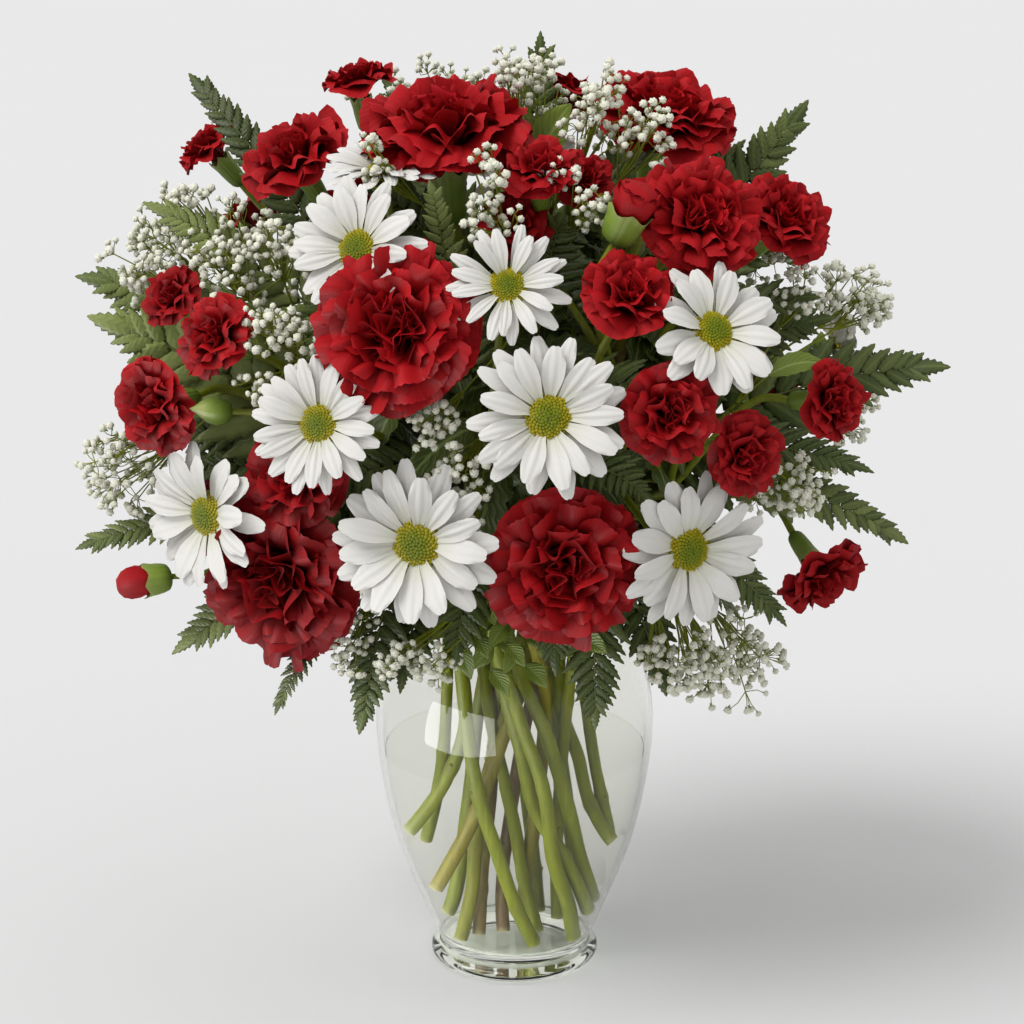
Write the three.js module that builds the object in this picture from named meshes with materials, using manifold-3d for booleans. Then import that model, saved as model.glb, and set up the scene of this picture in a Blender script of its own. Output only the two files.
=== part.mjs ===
// A full, round bouquet in a clear glass vase with water: red carnations on single stems, small red
// carnations on branching stems, white daisies, fern fronds, baby's breath and a leafy sprig.
// Millimetres, +Z up. The origin is the middle of the vase's flat underside. The front is -Y.
import * as THREE from 'three';
import { mergeVertices } from 'three/addons/utils/BufferGeometryUtils.js';
import Module from 'manifold-3d';

const wasm = await Module();
wasm.setup();
const { Manifold, Mesh: SolidMesh } = wasm;

// ---------------------------------------------------------------- driving dimensions

const GAP = 0.45; // how far a corner of a neighbour is pushed out before it cuts; its faces then clear by 0.3
const SLIVER = 0.12; // detail finer than this is dropped after a cut

const VASE_HEIGHT = 203;
const FOOT_RADIUS = 39.5;
const FOOT_HEIGHT = 8;
const FOOT_BEVEL = 1.5;
const FLOOR_HEIGHT = 10; // the top of the thick glass floor, inside
const FLOOR_RADIUS = 30; // the flat part of that floor
const FLOOR_CORNER = 4; // the height of the rounded corner round it
const GLASS = 2.8; // wall thickness
const WATER_HEIGHT = 106;
const WATER_CLEARANCE = 0.3;
const WATER_EDGE = 3; // the wall's points this close under the water's top are left out
const VASE_SEGMENTS = 26;

// The outer wall: height, radius. A narrow ankle over the foot, a full shoulder, a neck and a lip.
const OUTER_WALL = [
  [FOOT_HEIGHT, 35], [30, 44.5], [60, 55.8], [90, 62.4], [116, 65], [134, 63.4],
  [150, 57.6], [165, 49.2], [178, 43.2], [190, 42.4], [198, 45], [VASE_HEIGHT, 48],
];

const CARNATION_STEM = 3.4; // radii
const DAISY_STEM = 3.6;
const SPRAY_STEM = 3.2;
const BRANCH = 1.8;
const LEAF_STALK = 1.5;
const BREATH_STEM = 1.6;
const BREATH_BRANCH = 1.3;
const LEAF_THICKNESS = 1.2;

const BIG_CALYX = { length: 27, radius: 7 };
const SMALL_CALYX = { length: 16, radius: 4.5 };
const DAISY_CUP = { length: 6, radius: 6.5 };
const CARNATION_RIM = 0.17; // how far behind the flower's middle its calyx ends, over the width
const DAISY_RIM = 0.04;

const STRAIGHT_END = 18; // a stem runs straight into its calyx over this length
const INTO_CALYX = 2;
const ABOVE_LIP = 10; // stems pass the lip at this height over it
const OUTWARD = 0.12; // and have gone this share of the way towards what they carry
const BELOW_FORK = 0.12; // branches leave a stem this share of the way down from its fork to the lip

// A stem's route starts in the glass floor or wall, where it is trimmed flush, and ends in the neck.
// place is the middle of a flower, faces its bearing from the front towards +X and its rise, in degrees.
const CARNATIONS = [
  { name: 'carnation_front_left', width: 70, place: [-48, -128, 327], faces: [-12, 22],
    route: [[11, -15, 7], [1, -22, 31], [-8, -28, 61], [-17, -30, 92], [-24, -22, 140], [-27, -20, 185]] },
  { name: 'carnation_low_left', width: 76, place: [-100, -88, 212], faces: [-30, -8],
    route: [
      [-55, -15, 60], [-44, -15, 73], [-30, -13, 95], [-23, -11, 118], [-24, -9, 140], [-33, -6, 185]] },
  { name: 'carnation_low_centre', width: 68, place: [21, -128, 228], faces: [5, -5],
    route: [[55, 0, 48], [45, 5, 56], [35, 8, 74], [30, 6, 96], [22, 1, 122], [21, -14, 185]] },
  { name: 'carnation_upper_right', width: 54, place: [76, -95, 367], faces: [25, 35],
    route: [[-41, -26, 33], [-18, -22, 78], [-6, -14, 110], [5, -4, 140], [16, 3, 185]] },
  { name: 'carnation_top_right', width: 64, place: [65, -30, 400], faces: [35, 70],
    route: [[-26, -12, 7], [-20, -12, 36], [-17, -5, 70], [-6, 6, 110], [3, 10, 140], [6, 14, 185]] },
  { name: 'carnation_top_left', width: 74, place: [-29, -62, 397], faces: [-15, 74],
    route: [
      [37, -8, 16], [33, -12, 30], [23, -20, 56], [9, -20, 80], [3, -21, 108], [-6, -12, 140],
      [-12, 0, 185]] },
  { name: 'carnation_back_left', whole: true, width: 68, place: [-62, 96, 335], faces: [-150, 25],
    route: [[12, 20, 7], [8, 26, 50], [0, 28, 110], [-14, 26, 185]] },
  { name: 'carnation_back_right', whole: true, width: 68, place: [72, 92, 322], faces: [142, 20],
    route: [[-20, 16, 7], [-14, 25, 50], [-8, 34, 110], [3, 32, 185]] },
  { name: 'carnation_back_low', whole: true, width: 66, place: [6, 118, 236], faces: [176, -5],
    route: [[30, 22, 28], [26, 25, 60], [20, 25, 110], [15, 23, 185]] },
];

const MINI_SPRAYS = [
  { name: 'mini_left', fork: [-80, -40, 262],
    route: [[12, -4, 7], [4, -4, 40], [0, -4, 65], [-12, -2, 120], [-20, 3, 185]],
    flowers: [
      { width: 44, place: [-152, -78, 285], faces: [-38, 0] },
      { width: 38, place: [-124, -98, 318], faces: [-40, 25] },
    ],
    buds: [{ place: [-132, -92, 286], faces: [-72, 8] }, { place: [-162, -72, 205], faces: [-62, -12] }] },
  { name: 'mini_top_left', fork: [-58, 0, 312],
    route: [[-17, -9, 7], [-15, 1, 44], [-11, 8, 78], [-10, 15, 110], [-24, 14, 185]],
    flowers: [
      { width: 50, place: [-93, -52, 386], faces: [-50, 55] },
      { width: 34, place: [-70, 14, 412], faces: [-90, 80] },
      { width: 32, place: [-136, 5, 384], faces: [-80, 50] },
    ],
    buds: [] },
  { name: 'mini_upper_right', fork: [46, -45, 300],
    route: [[-5, -6, 7], [-6, 4, 31], [0, 12, 78], [10, 12, 130], [29, 6, 185]],
    flowers: [
      { width: 42, place: [46, -126, 340], faces: [22, 46] },
      { width: 26, place: [48, -110, 375], faces: [60, 62] },
      { width: 44, place: [114, -66, 362], faces: [42, 40] },
      { width: 36, place: [11, -88, 386], faces: [0, 60] },
    ],
    buds: [] },
  { name: 'mini_right', fork: [72, -42, 240],
    route: [[21, 12, 7], [20, 14, 40], [22, 4, 90], [26, -8, 140], [31, -8, 185]],
    flowers: [
      { width: 42, place: [62, -138, 295], faces: [15, 8] },
      { width: 36, place: [94, -124, 274], faces: [30, 0] },
      { width: 36, place: [132, -98, 291], faces: [45, 8] },
      { width: 42, place: [136, -48, 202], faces: [38, -38] },
    ],
    buds: [] },
  { name: 'mini_back_left', whole: true, fork: [-72, 36, 252],
    route: [[-45, 18, 40], [-36, 14, 80], [-32, 10, 130], [-32, 7, 185]],
    flowers: [
      { width: 42, place: [-126, 52, 338], faces: [-115, 30] },
      { width: 40, place: [-98, 102, 268], faces: [-140, 5] },
      { width: 38, place: [-140, 40, 212], faces: [-105, -20] },
    ],
    buds: [] },
  { name: 'mini_back_right', whole: true, fork: [64, 44, 256],
    route: [[48, 12, 44], [40, 16, 80], [34, 20, 120], [26, 21, 185]],
    flowers: [
      { width: 42, place: [124, 50, 340], faces: [115, 30] },
      { width: 40, place: [122, 82, 256], faces: [128, 0] },
      { width: 38, place: [20, 66, 400], faces: [165, 65] },
    ],
    buds: [] },
];

const DAISY_SPRAYS = [
  { name: 'daisy_front', fork: [-12, -72, 258],
    route: [[28, -10, 7], [25, -18, 31], [18, -26, 57], [13, -31, 94], [2, -26, 126], [-15, -24, 185]],
    flowers: [
      { width: 68, place: [13, -147, 295], faces: [3, 15] },
      { width: 52, place: [-3, -131, 345], faces: [5, 25] },
      { width: 72, place: [-40, -133, 239], faces: [-10, 5] },
    ] },
  { name: 'daisy_left', fork: [-52, -50, 266],
    route: [[39, -5, 24], [31, -10, 51], [24, -19, 83], [14, -19, 117], [4, -15, 140], [-9, -11, 185]],
    flowers: [
      { width: 62, place: [-63, -112, 357], faces: [-22, 18] },
      { width: 54, place: [-54, -80, 384], faces: [-20, 76] },
      { width: 60, place: [-79, -133, 289], faces: [-15, 12] },
      { width: 68, place: [-130, -86, 239], faces: [-40, 2] },
    ] },
  { name: 'daisy_right', fork: [44, -62, 256],
    route: [[3, 8, 7], [6, 2, 40], [12, -4, 90], [14, -10, 130], [6, -30, 185]],
    flowers: [
      { width: 62, place: [80, -124, 325], faces: [25, 30] },
      { width: 70, place: [71, -120, 233], faces: [25, 0] },
    ] },
  { name: 'daisy_back', whole: true, fork: [0, 46, 270],
    route: [[-34, 5, 13], [-29, 6, 25], [-22, 12, 70], [-18, 18, 110], [-5, 20, 185]],
    flowers: [
      { width: 62, place: [6, 110, 358], faces: [178, 38] },
      { width: 64, place: [-54, 116, 258], faces: [-158, 0] },
      { width: 64, place: [70, 112, 244], faces: [150, -2] },
      { width: 60, place: [-136, 28, 288], faces: [-98, 12] },
      { width: 60, place: [146, 20, 290], faces: [96, 12] },
    ] },
];

// A frond's stalk runs along route, and its blade goes on to tip, drooping at the end.
const FRONDS = [
  { name: 'fern_frond_left', route: [[-34, 16, 178], [-42, 16, 212], [-80, 4, 276]],
    tip: [-194, -12, 330], width: 62 },
  { name: 'fern_frond_low_left', route: [[-36, -12, 190], [-44, -18, 212], [-72, -36, 206]],
    tip: [-150, -62, 170], width: 50 },
  { name: 'fern_frond_right', route: [[34, 6, 178], [40, 2, 212], [82, -16, 262]],
    tip: [192, -20, 290], width: 60 },
  { name: 'fern_frond_top', route: [[-2, 8, 200], [0, 8, 250], [4, 6, 320]],
    tip: [12, 10, 434], width: 46 },
  { name: 'fern_frond_back', route: [[10, 26, 178], [10, 36, 214], [8, 70, 250]],
    tip: [-6, 156, 286], width: 62 },
  { name: 'fern_frond_hanging', route: [[24, -24, 184], [29, -40, 209], [34, -62, 205]],
    tip: [35, -98, 146], width: 42 },
];

const BREATH_SPRAYS = [
  { name: 'babys_breath_left', stem: [[-22, -6, 160], [-26, -4, 190], [-44, -14, 236], [-92, -28, 292]],
    clouds: [[-156, -22, 346, 19], [-124, -58, 338, 17], [-100, -104, 320, 15], [-168, -56, 250, 18]] },
  { name: 'babys_breath_top', stem: [[0, 14, 190], [4, -8, 250], [6, -30, 320]],
    clouds: [[12, -14, 410, 17], [36, -60, 404, 17], [-8, -104, 372, 12], [28, -98, 372, 10]] },
  { name: 'babys_breath_right', stem: [[36, -2, 180], [42, -10, 214], [74, -26, 250], [98, -34, 276]],
    clouds: [[148, -28, 322, 18], [112, -80, 246, 13], [98, -60, 168, 20]] },
  { name: 'babys_breath_back', stem: [[4, 22, 190], [2, 40, 250], [-4, 58, 310]],
    clouds: [[-28, 84, 396, 16], [66, 62, 380, 15], [-104, 84, 322, 15], [-6, 136, 302, 14]] },
];

// Leaves of the sprig at the vase's neck: where each starts, where its tip is, and its width.
const SPRIG_STEM = [[-2, -37.8, 190], [-2, -46, 212], [-4, -62, 204], [-6, -66, 184]];
const SPRIG_LEAVES = [
  { base: [-3, -60, 204], tip: [-30, -72, 176], width: 15 },
  { base: [-5, -64, 194], tip: [20, -74, 172], width: 15 },
  { base: [-6, -66, 186], tip: [-18, -68, 152], width: 14 },
  { base: [-6, -66, 186], tip: [8, -66, 154], width: 13 },
];

// ---------------------------------------------------------------- materials

const material = (color, roughness, more = {}) =>
  new THREE.MeshStandardMaterial({ color, roughness, metalness: 0, ...more });

const FINISH = {
  glass: material('#e6ecea', 0.04, { transparent: true, opacity: 0.3 }),
  water: material('#eef2ee', 0.02, { transparent: true, opacity: 0.25 }),
  stem: material('#7a8a35', 0.5),
  petal_red: material('#9c0f19', 0.65),
  petal_white: material('#f1f0ee', 0.6),
  fern: material('#3d5f2c', 0.55),
  breath: material('#efeee4', 0.7),
  leaf: material('#6f9240', 0.5),
};

// ---------------------------------------------------------------- solids

const vector = ([x, y, z]) => new THREE.Vector3(x, y, z);

function signedVolume(positions, triangles) {
  const [a, b, c] = [new THREE.Vector3(), new THREE.Vector3(), new THREE.Vector3()];
  let sum = 0;
  for (let i = 0; i < triangles.length; i += 3) {
    [a, b, c].forEach((corner, k) => corner.fromArray(positions, 3 * triangles[i + k]));
    sum += a.dot(b.cross(c)) / 6;
  }
  return sum;
}

// One closed geometry as a solid with its faces pointing out. grow pushes its corners outwards.
function solid(geometry, grow = 0) {
  const bare = geometry.clone();
  bare.deleteAttribute('normal');
  bare.deleteAttribute('uv');
  const merged = mergeVertices(bare, 1e-3);
  const positions = merged.attributes.position.array;
  const triangles = [];
  for (let i = 0; i < merged.index.count; i += 3) {
    const corners = [0, 1, 2].map((k) => merged.index.getX(i + k));
    if (new Set(corners).size === 3) triangles.push(...corners); // poles leave triangles with no area
  }
  if (signedVolume(positions, triangles) < 0) triangles.reverse();
  if (grow) {
    merged.setIndex(triangles);
    merged.computeVertexNormals();
    const normals = merged.attributes.normal.array;
    for (let i = 0; i < positions.length; i += 1) positions[i] += grow * normals[i];
  }
  const mesh = new SolidMesh({
    numProp: 3,
    vertProperties: Float32Array.from(positions),
    triVerts: Uint32Array.from(triangles),
  });
  return new Manifold(mesh);
}

const join = (geometries, grow) =>
  geometries.map((geometry) => solid(geometry, grow)).reduce((all, next) => all.add(next));

// A profile of [radius, height] points turned round +Z. It starts and ends on the axis.
function turned(profile, segments) {
  const points = profile.map(([radius, height]) => new THREE.Vector2(radius, height));
  return new THREE.LatheGeometry(points, segments).rotateX(Math.PI / 2);
}

// A round stalk along a smooth curve through the points.
function stalk(points, radius, steps, sides = 5) {
  const section = new THREE.Shape();
  for (let i = 0; i < sides; i += 1) {
    const turn = (2 * Math.PI * i) / sides;
    section[i ? 'lineTo' : 'moveTo'](radius * Math.cos(turn), radius * Math.sin(turn));
  }
  const extrudePath = new THREE.CatmullRomCurve3(points.map(vector), false, 'centripetal');
  return new THREE.ExtrudeGeometry(section, { steps, extrudePath, bevelEnabled: false });
}

// ---------------------------------------------------------------- where a flower sits

function facing([bearing, rise]) {
  const [b, r] = [THREE.MathUtils.degToRad(bearing), THREE.MathUtils.degToRad(rise)];
  return new THREE.Vector3(Math.sin(b) * Math.cos(r), -Math.cos(b) * Math.cos(r), Math.sin(r));
}

const behind = (flower, distance) =>
  vector(flower.place).addScaledVector(facing(flower.faces), -distance);

// Puts a shape that was made round +Z onto a flower's axis, with its zero at the given point.
function aimed(geometry, flower, zero) {
  const turn = new THREE.Quaternion().setFromUnitVectors(new THREE.Vector3(0, 0, 1), facing(flower.faces));
  return geometry.applyQuaternion(turn).translate(zero.x, zero.y, zero.z);
}

// ---------------------------------------------------------------- vase and water

// The wall's radius at a height, along a smooth curve through OUTER_WALL's points.
const wallCurve = new THREE.CatmullRomCurve3(OUTER_WALL.map(([z, r]) => new THREE.Vector3(r, z, 0)));
const wallPoints = wallCurve.getPoints(9).map(({ x, y }) => [x, y]);

function innerWall(clearance) {
  return wallPoints
    .filter(([, z]) => z > FLOOR_HEIGHT + FLOOR_CORNER)
    .map(([r, z]) => [r - GLASS - clearance, z]);
}

function vase() {
  const foot = [
    [0, 0], [FOOT_RADIUS - FOOT_BEVEL, 0], [FOOT_RADIUS, FOOT_BEVEL],
    [FOOT_RADIUS, FOOT_HEIGHT - 2.5], [FOOT_RADIUS - 2, FOOT_HEIGHT - 0.8],
  ];
  const inside = [...innerWall(0).reverse(), [FLOOR_RADIUS, FLOOR_HEIGHT], [0, FLOOR_HEIGHT]];
  return turned([...foot, ...wallPoints, ...inside], VASE_SEGMENTS);
}

function water() {
  const wall = innerWall(WATER_CLEARANCE);
  const wet = wall.filter(([, z]) => z < WATER_HEIGHT - WATER_EDGE);
  const [topRadius] = wall[wet.length];
  const bottom = FLOOR_HEIGHT + WATER_CLEARANCE;
  const floorRadius = FLOOR_RADIUS - 0.5;
  const profile = [[0, bottom], [floorRadius, bottom], ...wet, [topRadius, WATER_HEIGHT], [0, WATER_HEIGHT]];
  return turned(profile, VASE_SEGMENTS);
}

// ---------------------------------------------------------------- flowers

// A full carnation: a low dome of petals with a wavy rim, narrow where it leaves its calyx.
function carnation(flower) {
  const w = flower.width;
  const profile = [
    [0, -0.3], [0.1, -0.3], [0.3, -0.15], [0.5, 0], [0.36, 0.22], [0, 0.28],
  ].map(([r, z]) => [r * w, z * w]);
  return aimed(turned(profile, 9), flower, vector(flower.place));
}

// A daisy: a shallow cup of pointed petals round a raised disc.
function daisy(flower) {
  const w = flower.width;
  const petals = 6;
  const notch = 0.86; // the radius between two petals, over a petal's
  const profile = [
    [0, -0.05], [0.1, -0.05], [0.5, 0.05], [0.5, 0.08], [0.16, 0.02], [0, 0.08],
  ].map(([r, z]) => [r * w, z * w]);
  const shape = turned(profile, 2 * petals);
  const position = shape.attributes.position;
  for (let i = 0; i < position.count; i += 1) {
    const side = Math.floor(i / profile.length);
    const rim = Math.hypot(position.getX(i), position.getY(i)) > 0.45 * w;
    if (rim && side % 2) position.setXY(i, notch * position.getX(i), notch * position.getY(i));
  }
  return aimed(shape, flower, vector(flower.place));
}

function cup({ length, radius }, flower, rim) {
  const profile = [
    [0, 0], [0.5, 0], [1, 0.3], [1.05, 1], [0, 1],
  ].map(([r, z]) => [r * radius, z * length]);
  return aimed(turned(profile, 6), flower, behind(flower, rim + length));
}

function bud(flower) {
  const { length, radius } = SMALL_CALYX;
  const profile = [[0, 0], [0.6, 0], [1, 0.4], [0.9, 1], [0.4, 1.4], [0, 1.5]]
    .map(([r, z]) => [r * radius, z * length]);
  return aimed(turned(profile, 6), flower, behind(flower, length));
}

// The points of the last stretch: up to a flower's calyx, straight along the flower's axis at the end.
function lastStretch(flower, rim, calyx) {
  const end = rim + calyx.length;
  return [end + STRAIGHT_END, end - INTO_CALYX].map((distance) => behind(flower, distance).toArray());
}

// Over the vase's lip, a short way towards what the stem carries.
function overLip(neck, target) {
  const [x, y] = [0, 1].map((k) => neck[k] + OUTWARD * (target[k] - neck[k]));
  return [x, y, VASE_HEIGHT + ABOVE_LIP];
}

function singleStem(flower) {
  const rim = CARNATION_RIM * flower.width;
  const neck = flower.route.at(-1);
  const points = [...flower.route, overLip(neck, flower.place), ...lastStretch(flower, rim, BIG_CALYX)];
  return [stalk(points, CARNATION_STEM, 10), cup(BIG_CALYX, flower, rim)];
}

function sprayStem(spray, radius, calyx, rimShare) {
  const neck = spray.route.at(-1);
  const shapes = [stalk([...spray.route, overLip(neck, spray.fork), spray.fork], radius, 9)];
  const belowFork = vector(spray.fork).lerp(vector(overLip(neck, spray.fork)), BELOW_FORK).toArray();
  for (const flower of spray.flowers) {
    const rim = rimShare * flower.width;
    shapes.push(stalk([belowFork, ...lastStretch(flower, rim, calyx)], BRANCH, 4, 4));
    shapes.push(cup(calyx, flower, rim));
  }
  for (const small of spray.buds ?? []) {
    shapes.push(stalk([belowFork, ...lastStretch(small, 0, SMALL_CALYX)], BRANCH, 4, 4));
    shapes.push(bud(small));
  }
  return shapes;
}

// ---------------------------------------------------------------- greenery

// A flat blade from base to tip with toothed edges, drooping towards its tip.
function blade(base, tip, width, teeth, droop) {
  const [from, to] = [vector(base), vector(tip)];
  const length = from.distanceTo(to);
  const along = to.clone().sub(from).normalize();
  const across = new THREE.Vector3(0, 0, 1).cross(along);
  if (across.length() < 0.3) across.set(1, 0, 0);
  across.normalize();
  const up = along.clone().cross(across);

  const halfWidth = (t) => (width / 2) * Math.sin(Math.PI * (0.12 + 0.86 * t)) ** 0.7;
  const edge = [[0, 0.8]];
  for (let i = 0; i < teeth; i += 1) {
    const t = (i + 0.75) / (teeth + 0.4);
    edge.push([t * length, halfWidth(t)], [(t + 0.25 / teeth) * length, 0.45 * halfWidth(t)]);
  }
  const outline = [...edge, [length, 0.4], ...edge.map(([s, w]) => [s, -w]).reverse()];
  const shape = new THREE.Shape(outline.map(([s, w]) => new THREE.Vector2(s, w)));
  const flat = new THREE.ExtrudeGeometry(shape, { depth: LEAF_THICKNESS, bevelEnabled: false });
  const position = flat.attributes.position;
  const point = new THREE.Vector3();
  for (let i = 0; i < position.count; i += 1) {
    const [s, w, h] = [position.getX(i), position.getY(i), position.getZ(i) - LEAF_THICKNESS / 2];
    const t = s / length;
    const lift = h + droop * 4 * t * (1 - t);
    point.copy(from).addScaledVector(along, s).addScaledVector(across, w).addScaledVector(up, lift);
    position.setXYZ(i, point.x, point.y, point.z);
  }
  return flat;
}

function frond({ route, tip, width }) {
  const end = route.at(-1);
  const intoBlade = vector(end).lerp(vector(tip), 0.06).toArray();
  return [stalk([...route, intoBlade], LEAF_STALK, 5, 4), blade(end, tip, width, 7, 6)];
}

function sprig() {
  const leaves = SPRIG_LEAVES.map(({ base, tip, width }) => blade(base, tip, width, 2, 3));
  return [stalk(SPRIG_STEM, LEAF_STALK, 5, 4), ...leaves];
}

// Baby's breath: a stem with branches that each end in a small cloud of tiny flowers.
function breath({ stem, clouds }) {
  const shapes = [stalk(stem, BREATH_STEM, 5, 4)];
  const [fork, before] = [stem.at(-1), stem.at(-2)];
  const belowFork = vector(fork).lerp(vector(before), 0.1).toArray();
  for (const [x, y, z, radius] of clouds) {
    const middle = vector(belowFork).lerp(new THREE.Vector3(x, y, z), 0.5);
    middle.z += 4; // branches arch up a little
    shapes.push(stalk([belowFork, middle.toArray(), [x, y, z]], BREATH_BRANCH, 3, 4));
    shapes.push(new THREE.DodecahedronGeometry(radius, 0).translate(x, y, z));
  }
  return shapes;
}

// ---------------------------------------------------------------- the bouquet, in the order of what yields

// A plant at the back is one piece with its flowers. In front, each flower is a piece on its stem.
const whole = (plants) => plants.filter((plant) => plant.whole);
const inFront = (plants) => plants.filter((plant) => !plant.whole);
const miniStem = (spray) => sprayStem(spray, SPRAY_STEM, SMALL_CALYX, CARNATION_RIM);
const daisyStem = (spray) => sprayStem(spray, DAISY_STEM, DAISY_CUP, DAISY_RIM);

const pieces = [];
const add = (name, finish, shapes, middle = [0, 0, 0]) => pieces.push({ name, finish, shapes, middle });

add('glass_vase', FINISH.glass, [vase()]);
for (const flower of inFront(CARNATIONS)) add(`${flower.name}_stem`, FINISH.stem, singleStem(flower));
for (const spray of inFront(MINI_SPRAYS)) add(`${spray.name}_stem`, FINISH.stem, miniStem(spray));
for (const spray of inFront(DAISY_SPRAYS)) add(`${spray.name}_stem`, FINISH.stem, daisyStem(spray));
for (const flower of whole(CARNATIONS)) {
  add(flower.name, FINISH.petal_red, [...singleStem(flower), carnation(flower)]);
}
for (const spray of whole(MINI_SPRAYS)) {
  add(spray.name, FINISH.petal_red, [...miniStem(spray), ...spray.flowers.map(carnation)]);
}
for (const spray of whole(DAISY_SPRAYS)) {
  add(spray.name, FINISH.petal_white, [...daisyStem(spray), ...spray.flowers.map(daisy)]);
}
for (const spray of inFront(DAISY_SPRAYS)) {
  spray.flowers.forEach((flower, i) =>
    add(`${spray.name}_head_${i + 1}`, FINISH.petal_white, [daisy(flower)], flower.place));
}
for (const flower of inFront(CARNATIONS)) {
  add(`${flower.name}_bloom`, FINISH.petal_red, [carnation(flower)], flower.place);
}
for (const spray of inFront(MINI_SPRAYS)) {
  spray.flowers.forEach((flower, i) =>
    add(`${spray.name}_bloom_${i + 1}`, FINISH.petal_red, [carnation(flower)], flower.place));
}
for (const one of FRONDS) add(one.name, FINISH.fern, frond(one));
add('neck_leaf_sprig', FINISH.leaf, sprig());
for (const spray of BREATH_SPRAYS) add(spray.name, FINISH.breath, breath(spray));
add('water', FINISH.water, [water()]);

// Each piece gives way to those before it, with a small gap all round.
function fitted() {
  const fits = [];
  let taken = null;
  for (const { name, finish, shapes, middle } of pieces) {
    const full = join(shapes, 0);
    const parts = (taken ? full.subtract(taken) : full).decompose();
    const body = parts.reduce((best, part) => (part.volume() > best.volume() ? part : best));
    fits.push({ name, finish, middle, body: body.simplify(SLIVER) });
    const claimed = join(shapes, GAP);
    taken = taken ? taken.add(claimed) : claimed;
  }
  return fits;
}

function meshOf({ name, finish, middle, body }) {
  const { numProp, vertProperties, triVerts } = body.getMesh();
  const geometry = new THREE.BufferGeometry();
  const positions = new Float32Array((vertProperties.length / numProp) * 3);
  for (let i = 0; i < positions.length; i += 1) {
    positions[i] = vertProperties[Math.floor(i / 3) * numProp + (i % 3)] - middle[i % 3];
  }
  geometry.setAttribute('position', new THREE.BufferAttribute(positions, 3));
  geometry.setIndex([...triVerts]);
  geometry.computeVertexNormals();
  const mesh = new THREE.Mesh(geometry, finish);
  mesh.name = name;
  mesh.position.set(...middle);
  return mesh;
}

const bouquet = new THREE.Group();
bouquet.name = 'carnations_in_a_vase';
bouquet.add(...fitted().map(meshOf));

export default bouquet;
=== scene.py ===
# %% [markdown]
# # Carnations in a vase
# A round bouquet stands in a clear glass urn: red carnations, white daisies, fern and baby's breath,
# with their stems in water. This file is a lesson in growing such a bouquet in Blender. It starts
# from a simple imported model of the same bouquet, which says where every plant is, and replaces each
# simple solid with a detailed piece in the same place.

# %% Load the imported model
import math

import bpy
import numpy as np
from mathutils import Matrix, Vector


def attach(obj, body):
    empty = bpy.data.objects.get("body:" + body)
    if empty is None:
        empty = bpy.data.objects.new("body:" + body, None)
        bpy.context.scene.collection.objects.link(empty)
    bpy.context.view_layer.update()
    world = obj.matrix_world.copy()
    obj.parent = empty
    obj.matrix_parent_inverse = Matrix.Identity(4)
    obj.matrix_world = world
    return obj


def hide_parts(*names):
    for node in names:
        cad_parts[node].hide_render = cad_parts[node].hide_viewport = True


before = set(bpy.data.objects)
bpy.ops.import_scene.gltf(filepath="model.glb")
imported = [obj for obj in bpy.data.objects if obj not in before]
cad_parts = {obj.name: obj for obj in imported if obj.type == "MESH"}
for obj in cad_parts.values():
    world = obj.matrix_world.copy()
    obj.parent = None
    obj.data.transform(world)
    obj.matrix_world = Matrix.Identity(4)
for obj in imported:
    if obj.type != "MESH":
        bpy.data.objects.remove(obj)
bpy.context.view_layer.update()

print("simple pieces to replace:", len(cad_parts))

# %% [markdown]
# ## Directions and smooth paths
# All sizes below are millimetres, with +Z up and the front of the bouquet towards -Y. A flower's
# direction is a bearing, from the front towards +X, and a rise above level. Stems follow a
# Catmull-Rom curve, because such a curve passes through every point that it is given.

# %% Directions and smooth paths
MM = 0.001
UP = np.array([0.0, 0.0, 1.0])
GOLDEN_ANGLE = math.pi * (3 - math.sqrt(5))


def facing(bearing, rise):
    b, r = math.radians(bearing), math.radians(rise)
    return np.array([math.sin(b) * math.cos(r), -math.cos(b) * math.cos(r), math.sin(r)])


def unit(vector):
    return vector / np.linalg.norm(vector)


def axes_of(direction, spin=0.0):
    """Three rows: where a shape's own X, Y and Z point when its Z looks along the direction."""
    forward = unit(np.asarray(direction, float))
    side = np.cross(UP, forward)
    side = unit(side) if np.linalg.norm(side) > 1e-3 else np.array([1.0, 0.0, 0.0])
    up = np.cross(forward, side)
    c, s = math.cos(spin), math.sin(spin)
    return np.array([c * side + s * up, c * up - s * side, forward])


def mixed(a, b, share):
    return np.asarray(a, float) * (1 - share) + np.asarray(b, float) * share


def eased(low, high, value):
    """0 below low, 1 above high, and a smooth S between."""
    t = np.clip((value - low) / (high - low), 0, 1)
    return t * t * (3 - 2 * t)


def smooth_path(stops, spacing=3.0):
    """Points about `spacing` apart on the centripetal Catmull-Rom curve through the stops."""
    stops = np.asarray(stops, float)
    guides = np.vstack([2 * stops[0] - stops[1], stops, 2 * stops[-1] - stops[-2]])
    path = []
    for p0, p1, p2, p3 in zip(guides, guides[1:], guides[2:], guides[3:]):
        a, b, c = (np.linalg.norm(q - p) ** 0.5 for p, q in ((p0, p1), (p1, p2), (p2, p3)))
        leaving = b * ((p1 - p0) / a - (p2 - p0) / (a + b)) + (p2 - p1)
        reaching = (p2 - p1) - b * (p3 - p1) / (b + c) + b * (p3 - p2) / c
        steps = max(2, round(np.linalg.norm(p2 - p1) / spacing))
        t = np.linspace(0, 1, steps, endpoint=False)[:, None]
        path.append((2 * t**3 - 3 * t**2 + 1) * p1 + (t**3 - 2 * t**2 + t) * leaving
                    + (3 * t**2 - 2 * t**3) * p2 + (t**3 - t**2) * reaching)
    return np.vstack(path + [stops[-1:]])


def distances(path):
    """How far along the path each of its points is."""
    return np.concatenate([[0.0], np.cumsum(np.linalg.norm(np.diff(path, axis=0), axis=1))])


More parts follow.
